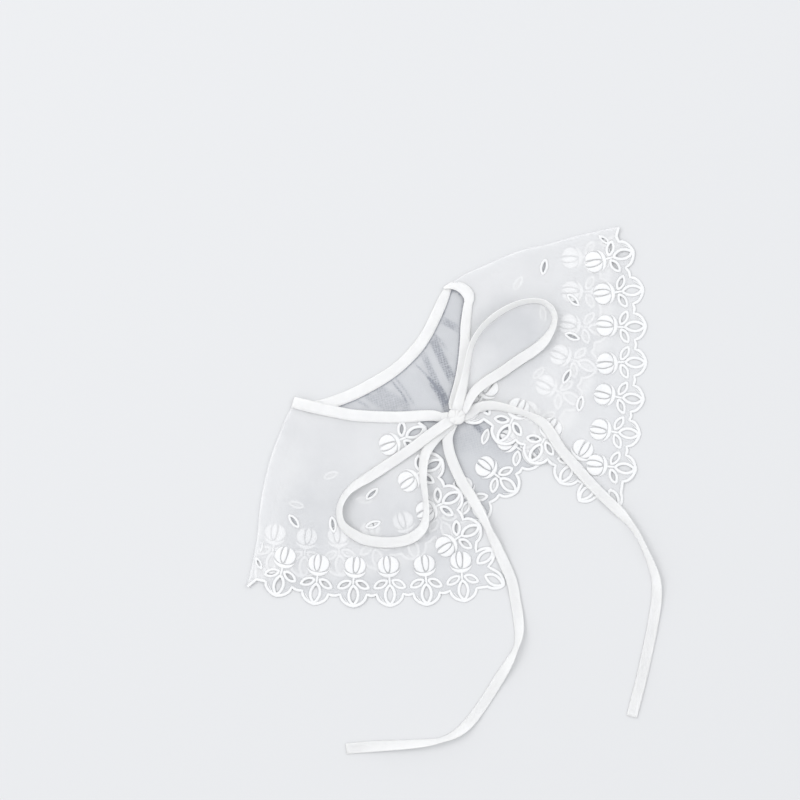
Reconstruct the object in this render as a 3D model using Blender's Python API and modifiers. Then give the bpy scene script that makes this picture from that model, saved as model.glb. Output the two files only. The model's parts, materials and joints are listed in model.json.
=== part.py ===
"""Lace cape collar with ribbon ties, lying folded at the shoulders on a flat surface.

The collar is one ring of sheer cloth. Its back half lies on the surface, and its two fronts are turned
over at the shoulders and lie on the back. A ribbon binds the neck edge and is tied in a bow at the front.
X runs across the shoulders, -Y towards the front, and +Z up. Tables are in millimetres in plan.
"""

import math

import bmesh
import bpy
import numpy as np
from mathutils import Vector
from mathutils.geometry import delaunay_2d_cdt

MM = 0.001
PLAN_CENTRE = (-2.25, -31.33)

# Thicknesses and clearances
CLOTH = 1.0
BINDING = 1.6
RIBBON = 1.0
RIBBON_WIDTH = 9.6
GAP = 0.3
CORNER_GAP = 1.2

# Heights of the middle of each wall
BACK_HEIGHT = CLOTH / 2
ROLL_RADIUS = 1.2
FOLD_HEIGHT = BACK_HEIGHT + 2 * ROLL_RADIUS
ON_BACK_HEIGHT = CLOTH + GAP + CLOTH / 2
BINDING_BACK_HEIGHT = BINDING / 2
BINDING_FRONT_HEIGHT = CLOTH + GAP + BINDING / 2
BINDING_FOLD_HEIGHT = BINDING_BACK_HEIGHT + 2 * ROLL_RADIUS

# How far each change of height takes, in plan
FOLD_SETTLE = 15.0
HEM_STEP_START = 3.0
HEM_STEP_END = 14.0
BINDING_LEVEL = 16.0
BINDING_SETTLE = 42.0

# The embroidered motif, measured outwards from the joint of its three leaves
TIP = 24.5
CUSP = 14.0
LOBE_HALF_WIDTH = 12.5
LEAF_TIP = 24.5
LEAF_CUSP = 11.5
LEAF_LOBE_HALF_WIDTH = 9.0
LOBE_ANGLES = (-90, -60, -30, 0, 30, 60, 90)
POINTEDNESS = 0.18
OUTER_LEAF_CENTRE = 13.7
OUTER_LEAF_HOLE = (13.6, 5.4)
SIDE_LEAF_CENTRE = 9.1
SIDE_LEAF_HOLE = (9.0, 3.3)
SIDE_LEAF_TURN = 63
FIELD_HOLE = (10.0, 2.6)

# Spacing of the points inside a panel, and how near they come to an edge or a hole
GRID = 15.0
EDGE_CLEAR = 5.0
HOLE_CLEAR = 3.5
STEP = 9.0

# Neck binding, a row for each section: x, y of its neck edge, then x, y of its edge on the cape
BINDING_LEFT = (
    (-83.1, 106.0, -92.3, 101.2),
    (-73.2, 90.0, -81.8, 83.6),
    (-63.2, 74.3, -72.0, 68.6),
    (-52.4, 59.0, -60.6, 52.6),
    (-29.6, 34.0, -36.8, 26.9),
    (-8.3, 14.6, -14.6, 7.0),
    (-2.6, 7.6, -9.2, 1.0),
    (-0.4, 3.2, -6.2, -2.0),
)
BINDING_BACK = (
    (-83.1, 106.0, -92.3, 101.2),
    (-75.3, 92.9, -78.6, 83.1),
    (-49.6, 79.2, -54.4, 69.7),
    (-22.3, 70.4, -26.4, 60.1),
    (0.1, 65.5, -1.5, 55.2),
    (23.4, 65.5, 23.0, 54.9),
    (40.0, 68.5, 40.2, 58.0),
    (56.0, 73.8, 57.8, 63.8),
    (69.7, 78.7, 73.5, 70.3),
    (79.4, 81.0, 89.1, 78.8),
)
BINDING_RIGHT = (
    (79.4, 81.0, 89.1, 78.8),
    (84.0, 76.4, 94.6, 74.0),
    (86.7, 69.9, 96.9, 66.9),
    (86.4, 63.4, 96.0, 59.9),
    (84.3, 59.9, 91.9, 54.9),
    (79.5, 56.8, 86.6, 51.9),
    (66.4, 46.8, 71.5, 39.2),
    (57.0, 38.0, 63.3, 31.6),
    (41.9, 25.6, 47.9, 18.3),
    (28.4, 16.2, 34.7, 8.6),
    (15.0, 8.6, 20.0, 0.3),
    (9.4, 5.2, 13.4, -2.6),
)

# Shoulder folds from the neck to the hem: x, y
FOLD_LEFT = ((-101.2, 98.8), (-114.9, 93.0), (-140.0, 81.5), (-171.8, 61.1), (-199.2, 38.8), (-234.5, 15.6))
FOLD_RIGHT = ((103.0, 75.4), (115.8, 70.6), (151.5, 56.0), (171.8, 43.3), (197.9, 28.6), (230.0, 8.1))

# Lines on which the joints of the motifs lie, with the hem to their right: x, y
HEM_LEFT = ((-202.4, 5.1), (-184.6, -22.9), (-163.2, -46.8), (-116.1, -92.0), (-91.0, -112.6))
EDGE_LEFT = ((-70.8, -86.0), (-62.0, -53.7), (-52.6, -18.2), (-42.9, 12.2))
EDGE_RIGHT = ((32.6, -12.8), (39.1, -45.6), (47.3, -78.7), (53.5, -112.0))
HEM_RIGHT = ((71.9, -137.6), (97.5, -117.2), (145.4, -77.3), (188.0, -30.9), (203.3, -4.1))
# The back's first joints, one by one, and then the line of the rest
HEM_BACK_FIRST = (
    (-193.2, 25.2),
    (-175.8, 2.4),
    (-153.4, -18.4),
    (-127.0, -36.8),
    (-99.7, -52.4),
    (-68.8, -61.5),
    (-37.3, -69.3),
    (-5.7, -71.0),
)
HEM_BACK = ((-5.7, -71.0), (29.3, -67.5), (88.5, -56.6), (144.5, -31.2), (189.6, 11.5))
MOTIFS = {"hem_left": 6, "edge_left": 4, "edge_right": 4, "hem_right": 7, "hem_back": 8}

# Lobes at the front corners that hold one leaf each: x, y of the joint, and the leaf's direction in degrees
CORNER_LEFT = ((-77.9, -123.1, -72.8), (-78.5, -114.4, -5.7))
CORNER_RIGHT = ((54.7, -139.8, 180.0), (59.4, -148.1, -114.3))

# Where the scalloped hem meets each shoulder fold: x, y of the last cusp
CUSP_LEFT = (-224.9, 14.8)
CUSP_RIGHT = (224.8, 2.8)

# Single leaves in the open cloth of the fronts: x, y, and the direction in degrees
FIELD_LEFT = ((-163.6, 28.6, 83), (-141.0, 1.6, 54), (-115.5, -23.9, 156), (-96.7, -3.6, 179))
FIELD_RIGHT = ((157.1, 31.2, 35), (154.6, -8.3, 92), (130.8, -30.9, 114), (102.0, -52.9, 18), (93.2, -78.6, 33))
FIELD_BACK = (
    (-151.6, 37.3, 121),
    (-110.9, 34.1, 156),
    (-105.8, -2.6, 127),
    (130.2, 37.3, 15),
    (126.7, 2.1, 56),
    (86.3, -32.7, 1),
    (11.9, -39.5, 27),
)

# Soft folds of the back below the neck: x, y where each starts and ends, its height and half width
BACK_FOLDS = (
    (42.6, 57.9, 34.0, 31.0, 2.2, 5.5),
    (14.0, 53.5, 6.4, 12.0, 2.8, 5.0),
    (-12.8, 57.7, -17.5, 30.0, 1.8, 6.0),
    (-42.0, 63.6, -40.0, 48.0, 1.2, 6.0),
)
BACK_FOLD_FADE = 9.0

# Ribbons of the bow, a row for each section: x, y, height of the lower edge, and tilt in degrees
LOOP_LEFT = (
    (-4.0, -6.0, 6.2, 8),
    (-12.5, -4.4, 5.9, 6),
    (-25.2, -2.4, 5.2, 2),
    (-39.0, -0.7, 4.3, 0),
    (-54.4, 2.1, 3.3, 0),
    (-69.6, 5.1, 2.8, 2),
    (-85.1, 8.4, 2.8, 14),
    (-101.4, 12.3, 2.8, 42),
    (-112.3, 12.8, 2.8, 53),
    (-123.8, 9.4, 2.8, 57),
    (-131.5, 2.2, 2.8, 54),
    (-134.9, -6.0, 2.8, 40),
    (-134.0, -17.1, 2.8, 20),
    (-129.9, -28.6, 2.8, 6),
    (-118.9, -43.1, 2.8, 0),
    (-107.0, -53.2, 2.8, -3),
    (-95.8, -57.7, 2.8, -12),
    (-85.0, -57.3, 2.8, -33),
    (-76.8, -52.5, 2.8, -56),
    (-69.2, -45.2, 2.8, -63),
    (-61.6, -35.9, 2.8, -59),
    (-56.1, -28.4, 2.8, -51),
    (-49.8, -21.7, 2.8, -42),
    (-42.9, -15.7, 2.8, -32),
    (-34.5, -11.1, 2.9, -20),
    (-23.7, -8.8, 3.3, -8),
    (-12.0, -8.6, 4.1, 2),
    (-4.6, -9.4, 4.3, 6),
)
LOOP_RIGHT = (
    (13.6, -2.2, 6.2, 10),
    (22.1, 2.6, 5.8, 20),
    (32.6, 8.9, 4.7, 36),
    (44.6, 17.0, 3.7, 50),
    (55.2, 24.3, 3.5, 57),
    (63.0, 28.4, 3.4, 60),
    (72.1, 31.0, 2.9, 61),
    (82.3, 32.1, 2.8, 60),
    (94.1, 31.4, 2.8, 58),
    (106.2, 28.7, 2.8, 59),
    (115.6, 25.2, 2.8, 61),
    (123.0, 21.0, 2.8, 63),
    (129.0, 16.0, 2.8, 64),
    (133.5, 10.0, 2.8, 65),
    (135.2, 3.6, 2.8, 65),
    (134.2, -2.9, 2.8, 65),
    (130.6, -8.4, 2.8, 64),
    (124.6, -12.4, 2.8, 60),
    (117.9, -14.6, 2.8, 50),
    (108.5, -15.6, 2.8, 28),
    (97.0, -14.7, 2.8, 8),
    (81.7, -11.4, 2.8, 2),
    (63.6, -8.2, 2.8, 2),
    (47.2, -4.4, 3.1, 3),
    (35.4, -3.4, 3.7, 5),
    (26.0, -5.0, 4.3, 7),
    (17.6, -7.6, 4.6, 8),
)
TAIL_LEFT = (
    (-4.2, -12.8, 2.8, 8),
    (-12.3, -17.2, 2.8, 10),
    (-20.0, -26.8, 2.7, 8),
    (-26.9, -39.3, 2.7, 4),
    (-31.8, -53.5, 2.7, 0),
    (-35.4, -69.4, 2.7, 0),
    (-40.7, -87.8, 2.7, 0),
    (-43.6, -96.4, 2.7, 0),
    (-46.5, -103.7, 2.3, 0),
    (-49.8, -113.6, 1.4, 0),
    (-56.4, -131.1, 1.4, 0),
    (-62.6, -147.0, 1.4, 0),
    (-72.9, -162.5, 0.3, 6),
    (-83.0, -176.4, 0.1, 16),
    (-92.6, -186.4, 0.1, 42),
    (-104.0, -193.4, 0.1, 66),
    (-117.7, -198.0, 0.1, 40),
    (-135.6, -202.6, 0.1, 12),
    (-156.8, -207.6, 0.1, 4),
    (-178.1, -210.8, 0.1, 14),
    (-194.3, -209.6, 0.1, 46),
    (-207.5, -204.6, 0.1, 70),
    (-218.2, -197.6, 0.1, 58),
    (-232.2, -186.2, 0.1, 42),
    (-245.0, -175.0, 0.1, 24),
    (-263.3, -159.4, 0.1, 6),
    (-275.3, -149.3, 0.1, 0),
)
TAIL_RIGHT = (
    (14.4, -14.2, 2.8, 4),
    (25.8, -16.4, 2.8, 18),
    (36.0, -23.9, 2.8, 33),
    (44.2, -36.0, 2.8, 46),
    (52.6, -52.0, 2.8, 57),
    (57.0, -67.5, 2.8, 22),
    (55.4, -80.6, 2.8, 4),
    (52.0, -94.8, 2.7, 0),
    (50.6, -110.7, 2.2, 0),
    (49.3, -133.3, 1.5, 0),
    (49.0, -154.6, 1.4, 6),
    (49.3, -173.0, 1.2, 20),
    (48.6, -184.4, 0.2, 50),
    (46.0, -199.4, 0.1, 62),
    (40.8, -214.6, 0.1, 62),
    (35.4, -227.6, 0.1, 50),
    (28.6, -239.8, 0.1, 36),
    (17.4, -251.6, 0.1, 16),
    (2.5, -262.9, 0.1, 6),
    (-11.1, -272.4, 0.1, 4),
    (-27.7, -283.1, 0.1, 4),
    (-44.2, -293.6, 0.1, 4),
    (-61.7, -303.8, 0.1, 6),
    (-73.2, -310.7, 0.1, 4),
)
RIBBON_STEP = 7.0
PINCH = 0.34
PINCH_LENGTH = 9.0

# The knot: plan centre, half sizes along, across and up, bottom height, turn in degrees, and squareness
KNOT_CENTRE = (5.9, -7.8)
KNOT_HALF = (8.2, 6.4, 3.6)
KNOT_BOTTOM = 2.6
KNOT_TURN = -45
KNOT_SQUARENESS = 0.62


def smooth(rows, step):
    """Points about one step apart, on a curve through the rows."""
    rows = [np.array(row, float) for row in rows]
    padded = [2 * rows[0] - rows[1], *rows, 2 * rows[-1] - rows[-2]]
    points = []
    for before, start, end, after in zip(padded, padded[1:], padded[2:], padded[3:]):
        count = max(1, round(math.dist(start[:2], end[:2]) / step))
        for t in np.arange(count) / count:
            linear = (end - before) * t
            square = (2 * before - 5 * start + 4 * end - after) * t**2
            cube = (3 * start - before - 3 * end + after) * t**3
            points.append((2 * start + linear + square + cube) / 2)
    return np.array([*points, rows[-1]])


def lengths_along(points):
    """The distance in plan of each point from the first, along the line of points."""
    return np.concatenate([[0], np.cumsum(np.linalg.norm(np.diff(points[:, :2], axis=0), axis=1))])


def stations(rows, count):
    """Joints at even spacing on a curve, each with the direction that points out, to the right of the way."""
    fine = smooth(rows, 1.0)
    along = lengths_along(fine)
    heading = np.gradient(fine, axis=0)
    found = []
    for wanted in np.linspace(0, along[-1], count):
        joint = np.array([np.interp(wanted, along, fine[:, axis]) for axis in (0, 1)])
        way = np.array([np.interp(wanted, along, heading[:, axis]) for axis in (0, 1)])
        way /= np.linalg.norm(way)
        found.append((joint, np.array([way[1], -way[0]])))
    return found


def joints_at(rows):
    """A joint at each row, with the direction that points out."""
    rows = np.array(rows)
    ways = np.gradient(rows, axis=0)
    ways /= np.linalg.norm(ways, axis=1)[:, None]
    return list(zip(rows, np.column_stack([ways[:, 1], -ways[:, 0]])))


def single_leaves(rows):
    """Joint and direction of each lobe that holds a leaf alone."""
    return [(np.array([x, y]), direction(turn)) for x, y, turn in rows]


def direction(degrees):
    return np.array([math.cos(math.radians(degrees)), math.sin(math.radians(degrees))])


def lobe(joint, outwards, half_width, cusp, tip, angles=LOBE_ANGLES):
    """The scallop round a motif, in the order in which the edge is walked."""
    along = np.array([-outwards[1], outwards[0]])
    points = []
    for angle in angles:
        side = math.sin(math.radians(angle))
        rise = (1 - POINTEDNESS) * math.cos(math.radians(angle)) + POINTEDNESS * (1 - abs(side))
        points.append(joint + along * half_width * side + outwards * (cusp + (tip - cusp) * rise))
    return points


def motif_lobe(motif, angles=LOBE_ANGLES):
    return lobe(*motif, LOBE_HALF_WIDTH, CUSP, TIP, angles)


def leaf_lobe(motif):
    return lobe(*motif, LEAF_LOBE_HALF_WIDTH, LEAF_CUSP, LEAF_TIP)


def leaf(centre, way, size, cuts):
    """A leaf-shaped hole: two pointed ends and, on each side, as many points as there are cuts."""
    length, width = size
    across = np.array([-way[1], way[0]])
    runs = [(2 * (i + 1) / (cuts + 1) - 1) for i in range(cuts)]
    bulge = [width / 2 * (1 - run**2) for run in runs]
    near = [centre + way * length / 2 * run + across * out for run, out in zip(runs, bulge)]
    far = [centre + way * length / 2 * run - across * out for run, out in zip(runs, bulge)]
    return [centre - way * length / 2, *far, centre + way * length / 2, *reversed(near)]


def motif_holes(motif):
    """The three leaves cut through one motif."""
    joint, outwards = motif
    holes = [leaf(joint + outwards * OUTER_LEAF_CENTRE, outwards, OUTER_LEAF_HOLE, 3)]
    base = math.degrees(math.atan2(outwards[1], outwards[0]))
    for turn in (-SIDE_LEAF_TURN, SIDE_LEAF_TURN):
        way = direction(base + turn)
        holes.append(leaf(joint + way * SIDE_LEAF_CENTRE, way, SIDE_LEAF_HOLE, 2))
    return holes


def leaf_hole(motif):
    joint, outwards = motif
    return leaf(joint + outwards * OUTER_LEAF_CENTRE, outwards, OUTER_LEAF_HOLE, 3)


def field_holes(rows):
    return [leaf(np.array([x, y]), direction(turn), FIELD_HOLE, 2) for x, y, turn in rows]


def inside(point, outline):
    """Whether a point lies inside a closed outline."""
    x, y = point
    ends = np.roll(outline, -1, axis=0)
    crosses = (outline[:, 1] > y) != (ends[:, 1] > y)
    rise = np.where(crosses, ends[:, 1] - outline[:, 1], 1)
    reach = outline[:, 0] + (y - outline[:, 1]) * (ends[:, 0] - outline[:, 0]) / rise
    return bool(np.count_nonzero(crosses & (reach > x)) % 2)


def offset_from(point, line):
    """Distance of a point from an open line of points, above nought on the line's right."""
    starts = line[:-1]
    runs = line[1:] - starts
    share = ((point - starts) * runs).sum(axis=1) / (runs**2).sum(axis=1)
    away = point - (starts + runs * np.clip(share, 0, 1)[:, None])
    distance = np.linalg.norm(away, axis=1)
    nearest = int(distance.argmin())
    side = runs[nearest][1] * away[nearest][0] - runs[nearest][0] * away[nearest][1]
    return math.copysign(distance[nearest], side)


def ease(share):
    """0 to 1, level at both ends."""
    share = min(max(share, 0.0), 1.0)
    return share * share * (3 - 2 * share)


def sections(rows):
    """The binding's sections at about one step apart: neck edge and cape edge of each."""
    return smooth(rows, STEP)


def beside(edge, outwards):
    """The cape's neck edge: the binding's edge moved out by the seam's gap."""
    ways = np.gradient(edge, axis=0)
    ways /= np.linalg.norm(ways, axis=1)[:, None]
    return edge + outwards * GAP * 1.15 * np.column_stack([ways[:, 1], -ways[:, 0]])


def beyond(section):
    """The cape's corner at a shoulder: past the end of the binding's section, in its own direction."""
    way = section[2:] - section[:2]
    return section[2:] + way / np.linalg.norm(way) * CORNER_GAP


def fold_line(corner, rows):
    return smooth([corner, *rows], STEP)


def back_height(point):
    """The back lies flat but for a few soft folds below the neck."""
    height = BACK_HEIGHT
    for start_x, start_y, end_x, end_y, rise, half_width in BACK_FOLDS:
        start = np.array([start_x, start_y])
        run = np.array([end_x, end_y]) - start
        length = np.linalg.norm(run)
        way = run / length
        along = (point - start) @ way
        across = (point - start) @ np.array([-way[1], way[0]])
        fade = ease(along / BACK_FOLD_FADE) * ease((length - along) / BACK_FOLD_FADE)
        height += rise * fade * math.exp(-((across / half_width) ** 2))
    return height


def front_height(point, reach, fold):
    """A front lies on the back, comes down to the surface past its hem, and rises to the shoulder fold."""
    past = offset_from(point, reach)
    step = ease((past - HEM_STEP_START) / (HEM_STEP_END - HEM_STEP_START))
    height = ON_BACK_HEIGHT + (BACK_HEIGHT - ON_BACK_HEIGHT) * step
    near = 1 - ease(abs(offset_from(point, fold)) / FOLD_SETTLE)
    return height + (FOLD_HEIGHT - ON_BACK_HEIGHT) * near


def panel_points(outline, holes):
    """Points on an even grid inside a panel, clear of its edge and its holes."""
    outline = np.array(outline)
    closed = [np.vstack([ring, ring[:1]]) for ring in [outline, *map(np.array, holes)]]
    low, high = outline.min(axis=0), outline.max(axis=0)
    rows = np.arange(low[1], high[1], GRID * math.sqrt(3) / 2)
    points = []
    for number, y in enumerate(rows):
        for x in np.arange(low[0] + (number % 2) * GRID / 2, high[0], GRID):
            point = np.array([x, y])
            if not inside(point, outline) or abs(offset_from(point, closed[0])) < EDGE_CLEAR:
                continue
            if all(abs(offset_from(point, ring)) > HOLE_CLEAR and not inside(point, ring) for ring in closed[1:]):
                points.append(point)
    return points


def step_line(outline, reach):
    """Where a front starts to come down past the back's hem, as pairs of neighbouring points."""
    ways = np.gradient(reach, axis=0)
    ways /= np.linalg.norm(ways, axis=1)[:, None]
    line = smooth(reach + HEM_STEP_START * np.column_stack([ways[:, 1], -ways[:, 0]]), STEP)
    closed = np.vstack([outline, outline[:1]])
    kept = [inside(p, np.array(outline)) and abs(offset_from(p, closed)) > 2 for p in line]
    return [(a, b) for a, b, first, second in zip(line, line[1:], kept, kept[1:]) if first and second]


def triangulate(outline, holes, extra_lines):
    """Triangles of a panel in plan, with its holes open: points, triangles, and the outline's own points."""
    points = [Vector(p) for p in outline]
    edges = [(i, (i + 1) % len(outline)) for i in range(len(outline))]
    for hole in holes:
        first = len(points)
        points += [Vector(p) for p in hole]
        edges += [(first + i, first + (i + 1) % len(hole)) for i in range(len(hole))]
    for a, b in extra_lines:
        edges.append((len(points), len(points) + 1))
        points += [Vector(a), Vector(b)]
    points += [Vector(p) for p in panel_points(outline, holes)]
    found, _, faces, came_from, _, _ = delaunay_2d_cdt(points, edges, [], 1, 0.01)
    found = np.array([tuple(p) for p in found])
    rings = [np.array(hole) for hole in holes]
    kept = []
    for face in faces:
        middle = found[face].mean(axis=0)
        near = [r for r in rings if np.abs(r.mean(axis=0) - middle).max() < max(OUTER_LEAF_HOLE)]
        if not any(inside(middle, ring) for ring in near):
            kept.append(face)
    place_of = {origin: i for i, origins in enumerate(came_from) for origin in origins}
    return found, kept, [place_of[i] for i in range(len(outline))]


def new_material(name, colour, roughness):
    material = bpy.data.materials.new(name)
    material.use_nodes = True
    shader = material.node_tree.nodes["Principled BSDF"]
    shader.inputs["Base Color"].default_value = (*colour, 1)
    shader.inputs["Roughness"].default_value = roughness
    return material


def new_object(name, builder, material, collection):
    mesh = bpy.data.meshes.new(name)
    builder.to_mesh(mesh)
    builder.free()
    mesh.materials.append(material)
    thing = bpy.data.objects.new(name, mesh)
    collection.objects.link(thing)
    return thing


def thicken(thing, thickness):
    wall = thing.modifiers.new("wall", "SOLIDIFY")
    wall.thickness = thickness * MM
    wall.offset = 0


def add_point(builder, x, y, z):
    return builder.verts.new(((x - PLAN_CENTRE[0]) * MM, (y - PLAN_CENTRE[1]) * MM, z * MM))


def add_panel(builder, outline, holes, height, faces_up, extra_lines=()):
    """Adds one panel of the cape, and gives the points of its outline."""
    plan, triangles, rim = triangulate(outline, holes, extra_lines)
    used = sorted({corner for triangle in triangles for corner in triangle})
    corners = {i: add_point(builder, *plan[i], height(plan[i])) for i in used}
    for triangle in triangles:
        order = triangle if faces_up else triangle[::-1]
        builder.faces.new([corners[i] for i in order])
    return [corners[i] for i in rim]


def add_roll(builder, upper, lower, line, outwards):
    """Joins a front to the back with a half-round fold along the shoulder."""
    ways = np.gradient(line, axis=0)
    ways /= np.linalg.norm(ways, axis=1)[:, None]
    normals = outwards * np.column_stack([ways[:, 1], -ways[:, 0]])
    rings = [upper]
    for angle in (45, 0, -45):
        bulge = ROLL_RADIUS * math.cos(math.radians(angle))
        rise = BACK_HEIGHT + ROLL_RADIUS * (1 + math.sin(math.radians(angle)))
        rings.append([add_point(builder, *(p + n * bulge), rise) for p, n in zip(line, normals)])
    rings.append(lower)
    for high, low in zip(rings, rings[1:]):
        for i in range(len(line) - 1):
            quad = [high[i], low[i], low[i + 1], high[i + 1]]
            builder.faces.new(quad if outwards > 0 else quad[::-1])


def cape(collection, material):
    """The cape as one continuous cloth: back, shoulder folds and two fronts."""
    left, back, right = (sections(rows) for rows in (BINDING_LEFT, BINDING_BACK, BINDING_RIGHT))
    neck_left = beside(left[:, 2:], 1)
    neck_back = beside(back[:, 2:], 1)
    neck_right = beside(right[:, 2:], -1)
    corner_left, corner_right = beyond(left[0]), beyond(right[0])
    neck_left[0], neck_right[0] = corner_left, corner_right
    fold_left, fold_right = fold_line(corner_left, FOLD_LEFT), fold_line(corner_right, FOLD_RIGHT)
    neck_back[0], neck_back[-1] = corner_left, corner_right

    hem_left = stations(HEM_LEFT, MOTIFS["hem_left"])
    edge_left = stations(EDGE_LEFT, MOTIFS["edge_left"])
    edge_right = stations(EDGE_RIGHT, MOTIFS["edge_right"])
    hem_right = stations(HEM_RIGHT, MOTIFS["hem_right"])
    hem_back = joints_at(HEM_BACK_FIRST)[:-1] + stations(HEM_BACK, MOTIFS["hem_back"])
    leaves_left, leaves_right = single_leaves(CORNER_LEFT), single_leaves(CORNER_RIGHT)
    reach = np.array([fold_left[-1], *(j + TIP * out for j, out in hem_back), fold_right[-1]])

    outline_left = [*fold_left, np.array(CUSP_LEFT)]
    for motif in hem_left:
        outline_left += motif_lobe(motif)
    for motif in leaves_left:
        outline_left += leaf_lobe(motif)
    for motif in edge_left[:-1]:
        outline_left += motif_lobe(motif)
    outline_left += motif_lobe(edge_left[-1], LOBE_ANGLES[:4])
    outline_left += [p for p in neck_left[:0:-1] if p[0] < outline_left[-1][0] - 1]

    outline_right = [p for p in neck_right[1:] if p[1] > -1.0]
    outline_right += motif_lobe(edge_right[0], LOBE_ANGLES[2:])
    for motif in edge_right[1:]:
        outline_right += motif_lobe(motif)
    for motif in leaves_right:
        outline_right += leaf_lobe(motif)
    for motif in hem_right:
        outline_right += motif_lobe(motif)
    outline_right += [np.array(CUSP_RIGHT), *fold_right[::-1]]

    outline_back = [*fold_left, np.array(CUSP_LEFT)]
    for motif in hem_back:
        outline_back += motif_lobe(motif)
    outline_back += [np.array(CUSP_RIGHT), *fold_right[::-1], *neck_back[-2:0:-1]]

    holes_left = [h for m in hem_left + edge_left for h in motif_holes(m)]
    holes_left += [leaf_hole(m) for m in leaves_left] + field_holes(FIELD_LEFT)
    holes_right = [h for m in hem_right + edge_right for h in motif_holes(m)]
    holes_right += [leaf_hole(m) for m in leaves_right] + field_holes(FIELD_RIGHT)
    holes_back = [h for m in hem_back for h in motif_holes(m)] + field_holes(FIELD_BACK)

    builder = bmesh.new()
    rim_left = add_panel(
        builder,
        outline_left,
        holes_left,
        lambda p: front_height(p, reach, fold_left),
        True,
        step_line(outline_left, reach),
    )
    rim_right = add_panel(
        builder,
        outline_right,
        holes_right,
        lambda p: front_height(p, reach, fold_right),
        True,
        step_line(outline_right, reach),
    )
    rim_back = add_panel(builder, outline_back, holes_back, back_height, False)
    upper_left = rim_left[: len(fold_left)]
    lower_left = rim_back[: len(fold_left)]
    upper_right = rim_right[::-1][: len(fold_right)]
    first = len(outline_back) - len(neck_back[-2:0:-1]) - len(fold_right)
    lower_right = rim_back[first : first + len(fold_right)][::-1]
    add_roll(builder, upper_left, lower_left, fold_left, 1)
    add_roll(builder, upper_right, lower_right, fold_right, -1)
    thing = new_object("collar_cape", builder, material, collection)
    thicken(thing, CLOTH)


def binding_height(from_fold):
    """Height of the binding on a front, at a distance from the shoulder fold."""
    settle = ease((from_fold - BINDING_LEVEL) / (BINDING_SETTLE - BINDING_LEVEL))
    return BINDING_FOLD_HEIGHT + (BINDING_FRONT_HEIGHT - BINDING_FOLD_HEIGHT) * settle


def corner_roll(section, outwards):
    """Sections of the binding round its fold at a shoulder, from the front down to the back."""
    neck, edge = section[:2], section[2:]
    way = (edge - neck) / np.linalg.norm(edge - neck)
    normal = outwards * np.array([way[1], -way[0]])
    rows = []
    for angle in (45, 0, -45):
        bulge = normal * ROLL_RADIUS * math.cos(math.radians(angle))
        height = BINDING_BACK_HEIGHT + ROLL_RADIUS * (1 + math.sin(math.radians(angle)))
        rows.append((neck + bulge, edge + bulge, height))
    return rows


def neck_binding(collection, material):
    """One ribbon round the neck edge, folded with the cape at both shoulders."""
    left, back, right = (sections(rows) for rows in (BINDING_LEFT, BINDING_BACK, BINDING_RIGHT))
    rows = []
    for section, height in zip(left, map(binding_height, lengths_along(left))):
        rows.append((section[:2], section[2:], height))
    rows.reverse()
    rows += corner_roll(left[0], 1)
    rows += [(section[:2], section[2:], BINDING_BACK_HEIGHT) for section in back]
    rows += reversed(corner_roll(right[0], -1))
    for section, height in zip(right, map(binding_height, lengths_along(right))):
        rows.append((section[:2], section[2:], height))
    builder = bmesh.new()
    ladder = [(add_point(builder, *a, height), add_point(builder, *b, height)) for a, b, height in rows]
    for (a, b), (c, d) in zip(ladder, ladder[1:]):
        builder.faces.new((a, b, d, c))
    thing = new_object("neck_binding", builder, material, collection)
    thicken(thing, BINDING)


def ribbon(name, rows, knotted_ends, collection, material):
    """A flat ribbon along its sections, drawn in where it enters the knot, resting on its lower edge."""
    path = smooth(rows, RIBBON_STEP)
    along = lengths_along(path)
    ways = np.gradient(path[:, :2], axis=0)
    ways /= np.linalg.norm(ways, axis=1)[:, None]
    builder = bmesh.new()
    ladder = []
    for (x, y, low, tilt), way, run in zip(path, ways, along):
        from_knot = min([run, along[-1] - run][:knotted_ends])
        half = RIBBON_WIDTH / 2 * (1 - PINCH * math.exp(-((from_knot / PINCH_LENGTH) ** 2)))
        turn = math.radians(tilt)
        side = np.array([way[1], -way[0]]) * half * math.cos(turn)
        rise = half * math.sin(turn)
        middle = low + abs(rise) + RIBBON / 2 * math.cos(turn)
        right = add_point(builder, x + side[0], y + side[1], middle - rise)
        left = add_point(builder, x - side[0], y - side[1], middle + rise)
        ladder.append((left, right))
    for (a, b), (c, d) in zip(ladder, ladder[1:]):
        builder.faces.new((a, b, d, c))
    thing = new_object(name, builder, material, collection)
    thicken(thing, RIBBON)


def knot(collection, material):
    """The knot as a squarish lump, a sphere pushed out towards its corners."""
    builder = bmesh.new()
    bmesh.ops.create_uvsphere(builder, u_segments=16, v_segments=10, radius=1)
    turn = math.radians(KNOT_TURN)
    for vert in builder.verts:
        unit = np.array(vert.co)
        shaped = np.sign(unit) * np.abs(unit) ** KNOT_SQUARENESS * np.array(KNOT_HALF)
        x = KNOT_CENTRE[0] + shaped[0] * math.cos(turn) - shaped[1] * math.sin(turn)
        y = KNOT_CENTRE[1] + shaped[0] * math.sin(turn) + shaped[1] * math.cos(turn)
        z = KNOT_BOTTOM + KNOT_HALF[2] + shaped[2]
        vert.co = ((x - PLAN_CENTRE[0]) * MM, (y - PLAN_CENTRE[1]) * MM, z * MM)
    thing = new_object("bow_knot", builder, material, collection)
    thing.data.shade_smooth()


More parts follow.
